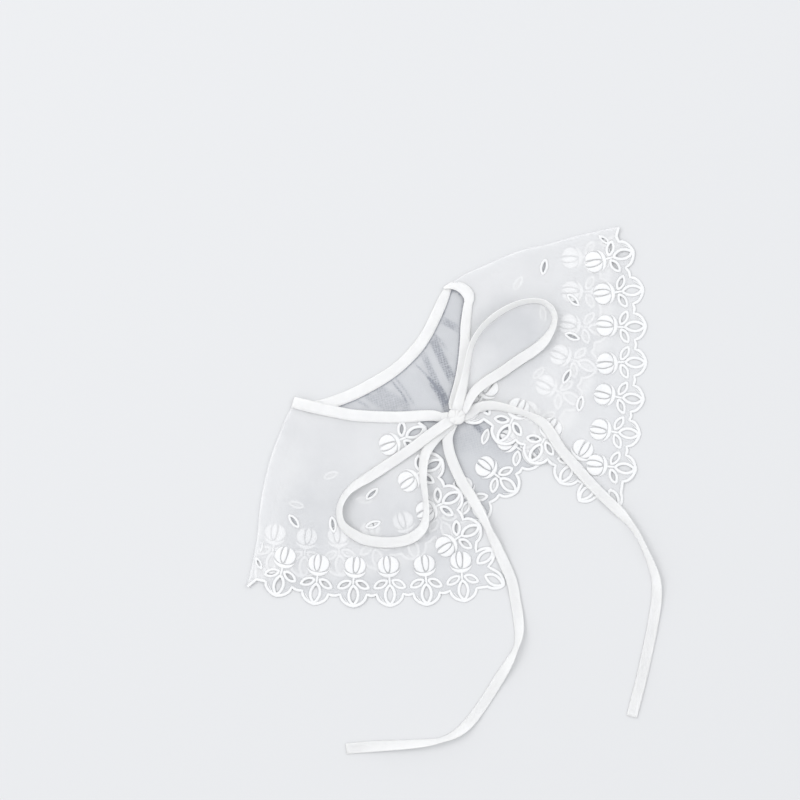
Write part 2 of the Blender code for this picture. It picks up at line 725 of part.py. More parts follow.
def main():
    for thing in list(bpy.data.objects):
        bpy.data.objects.remove(thing)
    collection = bpy.data.collections.new("lace_collar")
    bpy.context.scene.collection.children.link(collection)
    cape(collection, new_material("organza", (0.86, 0.87, 0.89), 0.6))
    neck_binding(collection, new_material("binding_ribbon", (0.93, 0.93, 0.92), 0.5))
    knot(collection, new_material("knot_ribbon", (0.93, 0.93, 0.9), 0.5))
    for name, rows, knotted_ends in (
        ("bow_loop_left", LOOP_LEFT, 2),
        ("bow_loop_right", LOOP_RIGHT, 2),
        ("tie_tail_left", TAIL_LEFT, 1),
        ("tie_tail_right", TAIL_RIGHT, 1),
    ):
        ribbon(name, rows, knotted_ends, collection, new_material(name + "_ribbon", (0.93, 0.93, 0.92), 0.5))


main()
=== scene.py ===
"""Looks of the lace collar: sheer cloth, satin-stitch embroidery, ribbon ties, light and camera.

Tables and sizes are in millimetres in plan, as in the collar's construction, and PLAN_CENTRE moves them to
the shared frame. X runs across the shoulders, -Y towards the front, and +Z up.
"""

import json
import math
import random

import bmesh
import bpy
import numpy as np
from mathutils import Matrix, Vector
from mathutils.geometry import delaunay_2d_cdt

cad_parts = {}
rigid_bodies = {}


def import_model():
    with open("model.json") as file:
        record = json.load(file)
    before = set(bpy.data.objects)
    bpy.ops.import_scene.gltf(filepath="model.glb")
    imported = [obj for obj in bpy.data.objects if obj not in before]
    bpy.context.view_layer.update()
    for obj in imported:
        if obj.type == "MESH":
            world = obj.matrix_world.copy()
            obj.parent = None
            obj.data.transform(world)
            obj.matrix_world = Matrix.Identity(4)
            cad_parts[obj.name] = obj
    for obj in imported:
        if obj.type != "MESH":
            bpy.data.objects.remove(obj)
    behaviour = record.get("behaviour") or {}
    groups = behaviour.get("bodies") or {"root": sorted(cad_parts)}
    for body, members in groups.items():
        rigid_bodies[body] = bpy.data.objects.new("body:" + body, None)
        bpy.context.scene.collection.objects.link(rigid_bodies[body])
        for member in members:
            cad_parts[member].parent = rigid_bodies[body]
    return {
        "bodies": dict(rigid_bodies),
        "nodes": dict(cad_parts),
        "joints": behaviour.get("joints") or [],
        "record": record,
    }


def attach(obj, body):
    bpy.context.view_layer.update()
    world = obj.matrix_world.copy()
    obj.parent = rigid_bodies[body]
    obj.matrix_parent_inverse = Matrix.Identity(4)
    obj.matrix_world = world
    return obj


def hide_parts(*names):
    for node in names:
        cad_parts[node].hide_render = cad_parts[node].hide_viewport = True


MM = 0.001
PLAN_CENTRE = (-2.25, -31.33)

# The photograph: millimetres a pixel, its side in pixels, and the plan point at its middle
MM_PER_PIXEL = 0.9
PICTURE_SIDE = 800
PICTURE_MIDDLE = (-19.09, 38.18)
CAMERA_HEIGHT = 2.2
SENSOR = 36.0

# Construction sizes: cloth, binding, ribbon, and heights of the middle of each wall
CLOTH = 1.0
BINDING = 1.6
RIBBON = 1.0
RIBBON_WIDTH = 9.6
GAP = 0.3
CORNER_GAP = 0.3
SEAM_GAP = 0.05
BACK_HEIGHT = CLOTH / 2
ROLL_RADIUS = 1.2
FOLD_HEIGHT = BACK_HEIGHT + 2 * ROLL_RADIUS
ON_BACK_HEIGHT = CLOTH + GAP + CLOTH / 2
BINDING_BACK_HEIGHT = BINDING / 2
BINDING_FRONT_HEIGHT = CLOTH + GAP + BINDING / 2
BINDING_FOLD_HEIGHT = BINDING_BACK_HEIGHT + 2 * ROLL_RADIUS
FOLD_SETTLE = 15.0
HEM_STEP_START = 3.0
HEM_STEP_END = 14.0
BINDING_LEVEL = 16.0
BINDING_SETTLE = 42.0
BINDING_STEP = 2.0
BINDING_STITCH = (2.1, 0.9, 0.36, 0.16)
BINDING_STITCH_PLACE = 0.86

# The motif, measured outwards from the joint of its three leaves
TIP = 24.5
CUSP = 14.0
LOBE_HALF_WIDTH = 12.5
LEAF_TIP = 24.5
LEAF_CUSP = 11.5
LEAF_LOBE_HALF_WIDTH = 9.0
LOBE_CUTS = 14
POINTEDNESS = 0.18
OUTER_LEAF_CENTRE = 13.7
SIDE_LEAF_CENTRE = 9.1
SIDE_LEAF_TURN = 63
OUTER_LEAF = {"hole": (13.6, 5.5), "outline": (19.7, 11.3), "cuts": 14}
SIDE_LEAF = {"hole": (9.0, 3.3), "outline": (15.2, 8.4), "cuts": 12}
FIELD_LEAF = {"hole": (10.0, 2.6), "outline": (15.4, 7.3), "cuts": 10}
FOLD_LEAF = {"hole": (6.0, 1.6), "outline": (13.0, 5.4), "cuts": 9}
LEAF_LEAN = 0.14
HEM_SWELL = 1.1

# A rosebud, from the joint: along the hem, then inwards. Bulges are from the straight line between the ends.
BUD_PETALS = (
    # start, end, bulge of one side, bulge of the other, roundness, height
    ((-9.8, 9.8), (10.6, 9.4), -8.0, -4.1, 0.60, 0.42),
    ((-0.2, 5.7), (-1.2, 21.0), 8.8, 0.6, 0.52, 0.50),
    ((1.4, 5.7), (3.4, 20.9), -7.8, -2.2, 0.52, 0.46),
    ((1.0, 7.0), (1.6, 21.5), 2.3, -3.2, 0.54, 0.62),
)
STEM = ((0.1, 3.2), (0.0, -5.0), 1.15, -1.15, 0.35, 0.42)
INNER_ARC = ((9.0, 14.6), (2.4, 22.0), -1.2, -0.3, 0.5, 0.35)
# The part of an arc that shows at the left shoulder, in plan
FOLD_ARC = ((-197.2, 36.5), (-206.3, 31.2), 3.0, 1.2, 0.5, 0.36)

# Satin stitch
STITCH_PITCH = 0.5
EDGE_WIDTH = 2.4
EDGE_OVERHANG = 0.5
EDGE_HEIGHT = 0.36
LEAF_HEIGHT = 0.42
UNDERSIDE = 0.16

# Colours of the sheer cloth: painted shade in a crease, alone, and whiter with painted light where another layer
# lies under it
ORGANZA_PAINTED_SHADE = (0.25, 0.27, 0.32)
ORGANZA_SINGLE = (0.68, 0.695, 0.725)
ORGANZA_LINED = (0.985, 0.986, 0.99)

# Spacing of points inside the cloth, and how near they come to an edge or a hole
GRID = 2.8
FINE_GRID = 1.3
FINE_BOX = (-62.0, -40.0, 78.0, 76.0)
EDGE_CLEAR = 1.2
HOLE_CLEAR = 1.0
STEP = 4.5

BINDING_LEFT = (
    (-83.1, 106.0, -92.3, 101.2),
    (-73.2, 90.0, -81.8, 83.6),
    (-63.2, 74.3, -72.0, 68.6),
    (-52.4, 59.0, -60.6, 52.6),
    (-29.6, 34.0, -36.8, 26.9),
    (-8.3, 14.6, -14.6, 7.0),
    (-2.6, 7.6, -9.2, 1.0),
    (-0.4, 3.2, -6.2, -2.0),
)
BINDING_BACK = (
    (-83.1, 106.0, -92.3, 101.2),
    (-75.3, 92.9, -78.6, 83.1),
    (-49.6, 79.2, -54.4, 69.7),
    (-22.3, 70.4, -26.4, 60.1),
    (0.1, 65.5, -1.5, 55.2),
    (23.4, 65.5, 23.0, 54.9),
    (40.0, 68.5, 40.2, 58.0),
    (56.0, 73.8, 57.8, 63.8),
    (69.7, 78.7, 73.5, 70.3),
    (79.4, 81.0, 89.1, 78.8),
)
BINDING_RIGHT = (
    (79.4, 81.0, 89.1, 78.8),
    (84.0, 76.4, 94.6, 74.0),
    (86.7, 69.9, 96.9, 66.9),
    (86.4, 63.4, 96.0, 59.9),
    (84.3, 59.9, 91.9, 54.9),
    (79.5, 56.8, 86.6, 51.9),
    (66.4, 46.8, 71.5, 39.2),
    (57.0, 38.0, 63.3, 31.6),
    (41.9, 25.6, 47.9, 18.3),
    (28.4, 16.2, 34.7, 8.6),
    (15.0, 8.6, 20.0, 0.3),
    (9.4, 5.2, 13.4, -2.6),
)
FOLD_LEFT = ((-101.2, 98.8), (-114.9, 93.0), (-140.0, 81.5), (-171.8, 61.1), (-199.2, 38.8), (-234.5, 15.6))
FOLD_RIGHT = ((103.0, 75.4), (115.8, 70.6), (151.5, 56.0), (171.8, 43.3), (197.9, 28.6), (230.0, 8.1))
HEM_LEFT = ((-202.4, 5.1), (-184.6, -22.9), (-163.2, -46.8), (-116.1, -92.0), (-91.0, -112.6))
EDGE_LEFT = ((-70.8, -86.0), (-62.0, -53.7), (-52.6, -18.2), (-42.9, 12.2))
EDGE_RIGHT = ((32.6, -12.8), (39.1, -45.6), (47.3, -78.7), (53.5, -112.0))
HEM_RIGHT = ((71.9, -137.6), (97.5, -117.2), (145.4, -77.3), (188.0, -30.9), (203.3, -4.1))
HEM_BACK_FIRST = (
    (-193.2, 25.2),
    (-175.8, 2.4),
    (-153.4, -18.4),
    (-127.0, -36.8),
    (-99.7, -52.4),
    (-68.8, -61.5),
    (-37.3, -69.3),
    (-5.7, -71.0),
)
HEM_BACK = ((-5.7, -71.0), (29.3, -67.5), (88.5, -56.6), (144.5, -31.2), (189.6, 11.5))
MOTIFS = {"hem_left": 6, "edge_left": 4, "edge_right": 4, "hem_right": 7, "hem_back": 8}
CORNER_LEFT = ((-77.9, -123.1, -72.8), (-78.5, -114.4, -5.7))
CORNER_RIGHT = ((54.7, -139.8, 180.0), (59.4, -148.1, -114.3))
CUSP_LEFT = (-224.9, 14.8)
CUSP_RIGHT = (223.2, 4.2)
FIELD_LEFT = ((-163.6, 28.6, 83), (-141.0, 1.6, 54), (-115.5, -23.9, 156), (-96.7, -3.6, 179))
FIELD_RIGHT = ((157.1, 31.2, 35), (154.6, -8.3, 92), (130.8, -30.9, 114), (102.0, -52.9, 18), (93.2, -78.6, 33))
FIELD_BACK = (
    (-151.6, 37.3, 121),
    (-110.9, 34.1, 156),
    (-105.8, -2.6, 127),
    (130.2, 37.3, 15),
    (126.7, 2.1, 56),
    (86.3, -32.7, 1),
    (11.9, -39.5, 27),
)
FOLD_LEAF_LEFT = ((-212.7, 24.2, -108),)
FOLD_LEAF_RIGHT = ((212.6, 10.2, -81),)

# Soft folds of the back below the neck: x, y where each starts and ends, its height and half width
BACK_FOLDS = (
    (42.6, 57.9, 34.0, 31.0, 2.2, 5.5),
    (14.0, 53.5, 6.4, 12.0, 2.8, 5.0),
    (-12.8, 57.7, -17.5, 30.0, 1.8, 6.0),
    (-42.0, 63.6, -40.0, 48.0, 1.2, 6.0),
)
BACK_FOLD_FADE = 9.0

# Painted shade on the back where it shows, in its creases and in the shade beneath the bow and the right front's
# edge: the line each follows, half width, softness of its edges, and depth
PAINTED_CREASE_SHADES = (
    (((41.0, 57.5), (33.2, 36.1), (27.0, 17.5)), 2.6, 2.4, 0.44),
    (((24.9, 52.2), (20.0, 39.5), (16.6, 29.2), (12.7, 20.0)), 1.6, 2.4, 0.34),
    (((-31.0, 60.0), (-25.0, 32.0)), 7.0, 4.0, 0.24),
    (((58.5, 63.0), (63.0, 46.7)), 2.2, 2.0, 0.34),
    (((13.4, 54.1), (13.7, 38.0), (13.0, 32.0)), 0.3, 1.1, 0.40),
    (((13.4, 37.5), (12.7, 27.2), (11.5, 18.8), (6.8, 5.0)), 0.5, 1.3, 0.95),
    (((13.0, 27.0), (11.0, 16.0), (6.0, 3.0)), 2.8, 2.6, 0.58),
    (((-12.3, 56.2), (-14.1, 39.8), (-18.3, 27.0)), 0.5, 0.9, 0.50),
    (((-7.9, 56.2), (-10.0, 40.0), (-13.8, 24.0)), 0.5, 1.0, 0.30),
    (((81.6, 74.5), (61.4, 64.1)), 0.4, 1.0, 0.30),
    (((45.5, 60.0), (43.0, 40.0)), 0.5, 1.2, 0.28),
    (((14.0, -20.0), (13.0, -28.0), (12.5, -37.0)), 1.4, 2.2, 0.60),
    (((-47.0, 66.0), (-43.0, 52.0)), 0.5, 1.2, 0.30),
    (((2.0, -22.0), (12.0, -34.0), (24.0, -52.0)), 12.0, 14.0, 0.14),
)
PAINTED_SHADE_FADE = 5.0

# The right front looks thinner inside its loop
THINNER_PLACE = (84.0, 8.0)
# Depth of the painted shadow on the back close beside the binding
PAINTED_SHADOW_BESIDE_BINDING = 0.6

# Gentle swells of the cloth, away from what lies on it: folds round the neck, and their height at the hem
NECK_MIDDLE = (0.0, 40.0)
SWELL_FOLDS = 19
SWELL_HEIGHT = 1.2
SWELL_START = 40.0
SWELL_FULL = 150.0
SWELL_CLEAR = 7.0
SWELL_FADE = 14.0
SWELL_GRID = 4.0

# Ribbons of the bow, a row for each section: x, y, height of the lower edge, and tilt in degrees
LOOP_LEFT = (
    (-4.0, -6.0, 6.2, 8),
    (-12.5, -4.4, 5.9, 6),
    (-25.2, -2.4, 5.2, 2),
    (-39.0, -0.7, 4.3, 0),
    (-54.4, 2.1, 3.3, 0),
    (-69.6, 5.1, 2.8, 2),
    (-85.1, 8.4, 2.8, 14),
    (-101.4, 12.3, 2.8, 42),
    (-112.3, 12.8, 2.8, 53),
    (-123.8, 9.4, 2.8, 57),
    (-131.5, 2.2, 2.8, 54),
    (-134.9, -6.0, 2.8, 40),
    (-134.0, -17.1, 2.8, 20),
    (-129.9, -28.6, 2.8, 6),
    (-118.9, -43.1, 2.8, 0),
    (-107.0, -53.2, 2.8, -3),
    (-95.8, -57.7, 2.8, -12),
    (-85.0, -57.3, 2.8, -33),
    (-76.8, -52.5, 2.8, -56),
    (-69.2, -45.2, 2.8, -63),
    (-61.6, -35.9, 2.8, -59),
    (-56.1, -28.4, 2.8, -51),
    (-49.8, -21.7, 2.8, -42),
    (-42.9, -15.7, 2.8, -32),
    (-34.5, -11.1, 2.9, -20),
    (-23.7, -8.8, 3.3, -8),
    (-12.0, -8.6, 4.1, 2),
    (-4.6, -9.4, 4.3, 6),
)
LOOP_RIGHT = (
    (13.6, -2.2, 6.2, 10),
    (22.1, 2.6, 5.8, 20),
    (32.6, 8.9, 4.7, 36),
    (44.6, 17.0, 3.7, 50),
    (55.2, 24.3, 3.5, 57),
    (63.0, 28.4, 3.4, 60),
    (72.1, 31.0, 2.9, 61),
    (82.3, 32.1, 2.8, 60),
    (94.1, 31.4, 2.8, 58),
    (106.2, 28.7, 2.8, 59),
    (115.6, 25.2, 2.8, 61),
    (123.0, 21.0, 2.8, 63),
    (129.0, 16.0, 2.8, 64),
    (133.5, 10.0, 2.8, 65),
    (135.2, 3.6, 2.8, 65),
    (134.2, -2.9, 2.8, 65),
    (130.6, -8.4, 2.8, 64),
    (124.6, -12.4, 2.8, 60),
    (117.9, -14.6, 2.8, 50),
    (108.5, -16.1, 2.8, 28),
    (97.0, -15.4, 2.8, 8),
    (81.7, -12.1, 2.8, 2),
    (63.6, -8.9, 2.8, 2),
    (47.2, -5.0, 3.1, 12),
    (35.4, -3.8, 3.7, 24),
    (26.0, -5.4, 4.3, 30),
    (17.6, -7.8, 4.6, 24),
)
TAIL_LEFT = (
    (-5.1, -11.9, 2.8, 8),
    (-13.2, -16.3, 2.8, 10),
    (-20.7, -26.1, 2.7, 8),
    (-26.9, -39.3, 2.7, 4),
    (-31.8, -53.5, 2.7, 0),
    (-35.4, -69.4, 2.7, 8),
    (-40.7, -87.8, 2.7, 34),
    (-43.6, -96.4, 2.7, 48),
    (-46.5, -103.7, 2.3, 46),
    (-49.8, -113.6, 1.4, 28),
    (-56.4, -131.1, 1.4, 8),
    (-62.6, -147.0, 1.4, 0),
    (-72.9, -162.5, 0.3, 6),
    (-83.0, -176.4, 0.1, 16),
    (-92.6, -186.4, 0.1, 42),
    (-104.0, -193.4, 0.1, 66),
    (-117.7, -198.0, 0.1, 40),
    (-135.6, -202.6, 0.1, 12),
    (-156.8, -207.6, 0.1, 4),
    (-178.1, -210.8, 0.1, 14),
    (-194.3, -209.6, 0.1, 46),
    (-207.5, -204.6, 0.1, 70),
    (-218.2, -197.6, 0.1, 58),
    (-232.2, -186.2, 0.1, 42),
    (-245.0, -175.0, 0.1, 24),
    (-263.3, -159.4, 0.1, 6),
    (-275.3, -149.3, 0.1, 0),
)
TAIL_RIGHT = (
    (14.4, -14.2, 2.8, 4),
    (25.8, -16.4, 2.8, 18),
    (36.0, -23.9, 2.8, 33),
    (44.2, -36.0, 2.8, 46),
    (52.6, -52.0, 2.8, 57),
    (57.0, -67.5, 2.8, 22),
    (55.4, -80.6, 2.8, 4),
    (52.0, -94.8, 2.7, 0),
    (50.6, -110.7, 2.2, 0),
    (49.3, -133.3, 1.5, 0),
    (49.0, -154.6, 1.4, 6),
    (49.3, -173.0, 1.2, 20),
    (48.6, -184.4, 0.2, 50),
    (46.0, -199.4, 0.1, 62),
    (40.8, -214.6, 0.1, 62),
    (35.4, -227.6, 0.1, 50),
    (28.6, -239.8, 0.1, 36),
    (17.4, -251.6, 0.1, 16),
    (2.5, -262.9, 0.1, 6),
    (-11.1, -272.4, 0.1, 4),
    (-27.7, -283.1, 0.1, 4),
    (-44.2, -293.6, 0.1, 4),
    (-61.7, -303.8, 0.1, 6),
    (-73.2, -310.7, 0.1, 4),
)
RIBBON_STEP = 2.5
RIBBON_WALL = 0.55
RIBBON_ACROSS = 8
PINCH = 0.06
PINCH_LENGTH = 9.0

KNOT_CENTRE = (6.2, -8.0)
KNOT_HALF = (7.9, 7.5, 2.5)
KNOT_BOTTOM = 2.6
KNOT_TURN = -45
KNOT_SQUARENESS = 0.8
INTO_KNOT = 5.0
INTO_KNOT_WIDTH = 1.1
INTO_KNOT_HEIGHT = 6.4

# Creases of the knot: where each starts and its way, in shares of the knot's half sizes, and depth in mm
KNOT_CREASES = (
    # start, end, half width, depth
    ((-0.10, -0.10), (-0.14, 1.05), 0.07, 0.9),
    ((0.05, -0.10), (0.50, 1.05), 0.08, 1.0),
    ((0.15, -0.20), (1.05, 0.30), 0.08, 0.8),
    ((-0.25, -0.15), (-1.05, -0.20), 0.09, 0.7),
    ((-0.05, -0.35), (-0.30, -1.05), 0.08, 0.8),
)


# Plan geometry


def plan(x, y, z):
    """A point of the plan in the shared frame, in metres."""
    return ((x - PLAN_CENTRE[0]) * MM, (y - PLAN_CENTRE[1]) * MM, z * MM)


def direction(degrees):
    return np.array([math.cos(math.radians(degrees)), math.sin(math.radians(degrees))])


def ease(share):
    """0 to 1, level at both ends."""
    share = np.clip(share, 0.0, 1.0)
    return share * share * (3 - 2 * share)


def smooth(rows, step):
    """Points about one step apart, on a curve through the rows."""
    rows = [np.array(row, float) for row in rows]
    padded = [2 * rows[0] - rows[1], *rows, 2 * rows[-1] - rows[-2]]
    points = []
    for before, start, end, after in zip(padded, padded[1:], padded[2:], padded[3:]):
        count = max(1, round(math.dist(start[:2], end[:2]) / step))
        for t in np.arange(count) / count:
            linear = (end - before) * t
            square = (2 * before - 5 * start + 4 * end - after) * t**2
            cube = (3 * start - before - 3 * end + after) * t**3
            points.append((2 * start + linear + square + cube) / 2)
    return np.array([*points, rows[-1]])


def lengths_along(points):
    """The distance in plan of each point from the first, along the line of points."""
    return np.concatenate([[0], np.cumsum(np.linalg.norm(np.diff(points[:, :2], axis=0), axis=1))])


def right_of(line):
    """At each point of a line, the unit direction to the right of its way."""
    ways = np.gradient(line, axis=0)
    ways /= np.linalg.norm(ways, axis=1)[:, None] + 1e-9
    return np.column_stack([ways[:, 1], -ways[:, 0]])


def offset_from(points, line):
    """Distances of points from an open line of points, above nought on the line's right."""
    points = np.atleast_2d(points)
    starts = line[:-1]
    runs = line[1:] - starts
    from_start = points[:, None, :] - starts[None]
    share = (from_start * runs).sum(axis=2) / (runs**2).sum(axis=1)
    away = from_start - runs * np.clip(share, 0, 1)[:, :, None]
    distance = np.linalg.norm(away, axis=2)
    nearest = distance.argmin(axis=1)
    rows = np.arange(len(points))
    near = away[rows, nearest]
    run = runs[nearest]
    side = run[:, 1] * near[:, 0] - run[:, 0] * near[:, 1]
    return np.copysign(distance[rows, nearest], side)


def inside(points, outline):
    """Whether each point lies inside a closed outline."""
    points = np.atleast_2d(points)
    x, y = points[:, :1], points[:, 1:]
    ends = np.roll(outline, -1, axis=0)
    crosses = (outline[:, 1] > y) != (ends[:, 1] > y)
    rise = ends[:, 1] - outline[:, 1]
    reach = outline[:, 0] + (y - outline[:, 1]) * (ends[:, 0] - outline[:, 0]) / np.where(rise == 0, 1, rise)
    return np.count_nonzero(crosses & (reach > x), axis=1) % 2 == 1


def stations(rows, count):
    """Joints at even spacing on a curve, each with the direction that points out, to the right of the way."""
    fine = smooth(rows, 1.0)
    along = lengths_along(fine)
    heading = np.gradient(fine, axis=0)
    found = []
    for wanted in np.linspace(0, along[-1], count):
        joint = np.array([np.interp(wanted, along, fine[:, axis]) for axis in (0, 1)])
        way = np.array([np.interp(wanted, along, heading[:, axis]) for axis in (0, 1)])
        way /= np.linalg.norm(way)
        found.append((joint, np.array([way[1], -way[0]])))
    return found


def joints_at(rows):
    """A joint at each row, with the direction that points out."""
    rows = np.array(rows)
    return list(zip(rows, right_of(rows)))


def single_leaves(rows):
    return [(np.array([x, y]), direction(turn)) for x, y, turn in rows]


def lobe(motif, half_width, cusp, tip, first=-90, last=90):
    """The scallop round a motif, in the order in which the edge is walked."""
    joint, outwards = motif
    along = np.array([-outwards[1], outwards[0]])
    points = []
    for angle in np.radians(np.linspace(first, last, LOBE_CUTS + 1)):
        side = math.sin(angle)
        rise = (1 - POINTEDNESS) * math.cos(angle) + POINTEDNESS * (1 - abs(side))
        points.append(joint + along * half_width * side + outwards * (cusp + (tip - cusp) * rise))
    return points


def motif_lobe(motif, first=-90, last=90):
    return lobe(motif, LOBE_HALF_WIDTH, CUSP, TIP, first, last)


def scalloped(motifs):
    """The lobes of a row of motifs, with the short swells of the hem between them."""
    points = []
    for motif in motifs:
        following = motif_lobe(motif)
        if points:
            before, after = points[-1], following[0]
            for share in (0.25, 0.5, 0.75):
                swell = HEM_SWELL * 4 * share * (1 - share)
                points.append(before + (after - before) * share + motif[1] * swell)
        points += following
    return points


def leaf_lobe(motif):
    return lobe(motif, LEAF_LOBE_HALF_WIDTH, LEAF_CUSP, LEAF_TIP)


def leaf_ring(centre, way, size, cuts, roundness, lean=0.0):
    """A closed leaf shape with a point at each end. Lean moves its belly along, to one side only."""
    length, width = size
    across = np.array([-way[1], way[0]])
    points = []
    for turn in np.linspace(0, 2 * math.pi, 2 * cuts, endpoint=False):
        run = -math.cos(turn)
        out = math.copysign(abs(math.sin(turn)) ** (2 * roundness), math.sin(turn))
        points.append(centre + way * length / 2 * run - across * width / 2 * out * (1 + lean * run * np.sign(out)))
    return np.array(points)


def motif_leaves(motif):
    """Centre, direction and sizes of the three leaves of a motif."""
    joint, outwards = motif
    base = math.degrees(math.atan2(outwards[1], outwards[0]))
    leaves = [(joint + outwards * OUTER_LEAF_CENTRE, outwards, OUTER_LEAF)]
    for turn in (-SIDE_LEAF_TURN, SIDE_LEAF_TURN):
        way = direction(base + turn)
        leaves.append((joint + way * SIDE_LEAF_CENTRE, way, SIDE_LEAF))
    return leaves


def lone_leaf(motif):
    joint, outwards = motif
    return (joint + outwards * OUTER_LEAF_CENTRE, outwards, OUTER_LEAF)


def field_leaves(rows):
    return [(np.array([x, y]), direction(turn), FIELD_LEAF) for x, y, turn in rows]


def hole_of(leaf):
    centre, way, sizes = leaf
    return leaf_ring(centre, way, sizes["hole"], sizes["cuts"], 0.9, LEAF_LEAN)


# Heights of the panels


def along_line(points, line, half_width, softness):
    """1 on a line, 0 away from it, and fading to its ends."""
    line = smooth(line, 2.0)
    away = np.abs(offset_from(points, line))
    level = ease((half_width + softness - away) / softness)
    ends = np.minimum(
        np.linalg.norm(points - line[0], axis=1),
        np.linalg.norm(points - line[-1], axis=1),
    )
    return level * (0.25 + 0.75 * ease(ends / PAINTED_SHADE_FADE))


def painted_shade_of(points):
    """Painted shade on the back: darker in its creases, and a painted shadow close beside the binding that lies
    round it.
    """
    depth = np.zeros(len(points))
    for rows, first in ((BINDING_LEFT, 2), (BINDING_BACK, 2), (BINDING_RIGHT, 0)):
        line = sections(rows)[:, first : first + 2]
        depth = np.maximum(depth, PAINTED_SHADOW_BESIDE_BINDING * (1 - ease(np.abs(offset_from(points, line)) / 1.8)))
    for line, half_width, softness, amount in PAINTED_CREASE_SHADES:
        depth = np.maximum(depth, amount * along_line(points, line, half_width, softness))
    return depth


def back_folds(points):
    """Soft folds below the neck, where the back shows."""
    height = np.zeros(len(points))
    for start_x, start_y, end_x, end_y, rise, half_width in BACK_FOLDS:
        start = np.array([start_x, start_y])
        run = np.array([end_x, end_y]) - start
        length = np.linalg.norm(run)
        way = run / length
        along = (points - start) @ way
        across = (points - start) @ np.array([-way[1], way[0]])
        fade = ease(along / BACK_FOLD_FADE) * ease((length - along) / BACK_FOLD_FADE)
        height = height + rise * fade * np.exp(-((across / half_width) ** 2))
    return height


def front_height(points, reach, fold):
    """A front lies on the back, comes down to the surface past its hem, and rises to the shoulder fold."""
    past = offset_from(points, reach)
    step = ease((past - HEM_STEP_START) / (HEM_STEP_END - HEM_STEP_START))
    height = ON_BACK_HEIGHT + (BACK_HEIGHT - ON_BACK_HEIGHT) * step
    near = 1 - ease(np.abs(offset_from(points, fold)) / FOLD_SETTLE)
    return height + (FOLD_HEIGHT - ON_BACK_HEIGHT) * near


class Swells:
    """Gentle folds spreading from the neck, level beside every line in a list and inside every outline."""

    def __init__(self, phase, lines, outlines):
        xs = np.arange(-250, 251, SWELL_GRID)
        ys = np.arange(-190, 140, SWELL_GRID)
        grid = np.array([(x, y) for y in ys for x in xs])
        clear = np.full(len(grid), 1e3)
        for line in lines:
            clear = np.minimum(clear, np.abs(offset_from(grid, line)))
        for outline in outlines:
            clear = np.minimum(clear, np.abs(offset_from(grid, np.vstack([outline, outline[:1]]))))
            clear[inside(grid, outline)] = 0
        from_neck = grid - np.array(NECK_MIDDLE)
        distance = np.linalg.norm(from_neck, axis=1)
        angle = np.arctan2(from_neck[:, 1], from_neck[:, 0])
        wander = 0.9 * np.sin(distance / 31 + 2 * angle + phase) + 0.5 * np.sin(3 * angle - phase)
        wave = 0.5 + 0.5 * np.sin(SWELL_FOLDS * angle + wander)
        uneven = 0.6 + 0.4 * np.sin(5 * angle + 1.3 + phase)
        spread = ease((distance - SWELL_START) / (SWELL_FULL - SWELL_START))
        level = ease((clear - SWELL_CLEAR) / SWELL_FADE)
        self.values = (SWELL_HEIGHT * wave**2 * uneven * spread * level).reshape(len(ys), len(xs))
        self.low = np.array([xs[0], ys[0]])

    def __call__(self, points):
        place = (points - self.low) / SWELL_GRID
        cell = np.floor(place).astype(int)
        cell[:, 0] = np.clip(cell[:, 0], 0, self.values.shape[1] - 2)
        cell[:, 1] = np.clip(cell[:, 1], 0, self.values.shape[0] - 2)
        share = np.clip(place - cell, 0, 1)
        x, y = cell.T
        low = self.values[y, x] * (1 - share[:, 0]) + self.values[y, x + 1] * share[:, 0]
        high = self.values[y + 1, x] * (1 - share[:, 0]) + self.values[y + 1, x + 1] * share[:, 0]
        return low * (1 - share[:, 1]) + high * share[:, 1]


def sections(rows):
    return smooth(rows, STEP)


def beside(edge, side):
    """The cape's neck edge: the binding's edge moved out by the seam's gap."""
    return edge + side * SEAM_GAP * right_of(edge)


def beyond(section):
    """The cape's corner at a shoulder: past the end of the binding's section, in its own direction."""
    way = section[2:] - section[:2]
    return section[2:] + way / np.linalg.norm(way) * CORNER_GAP


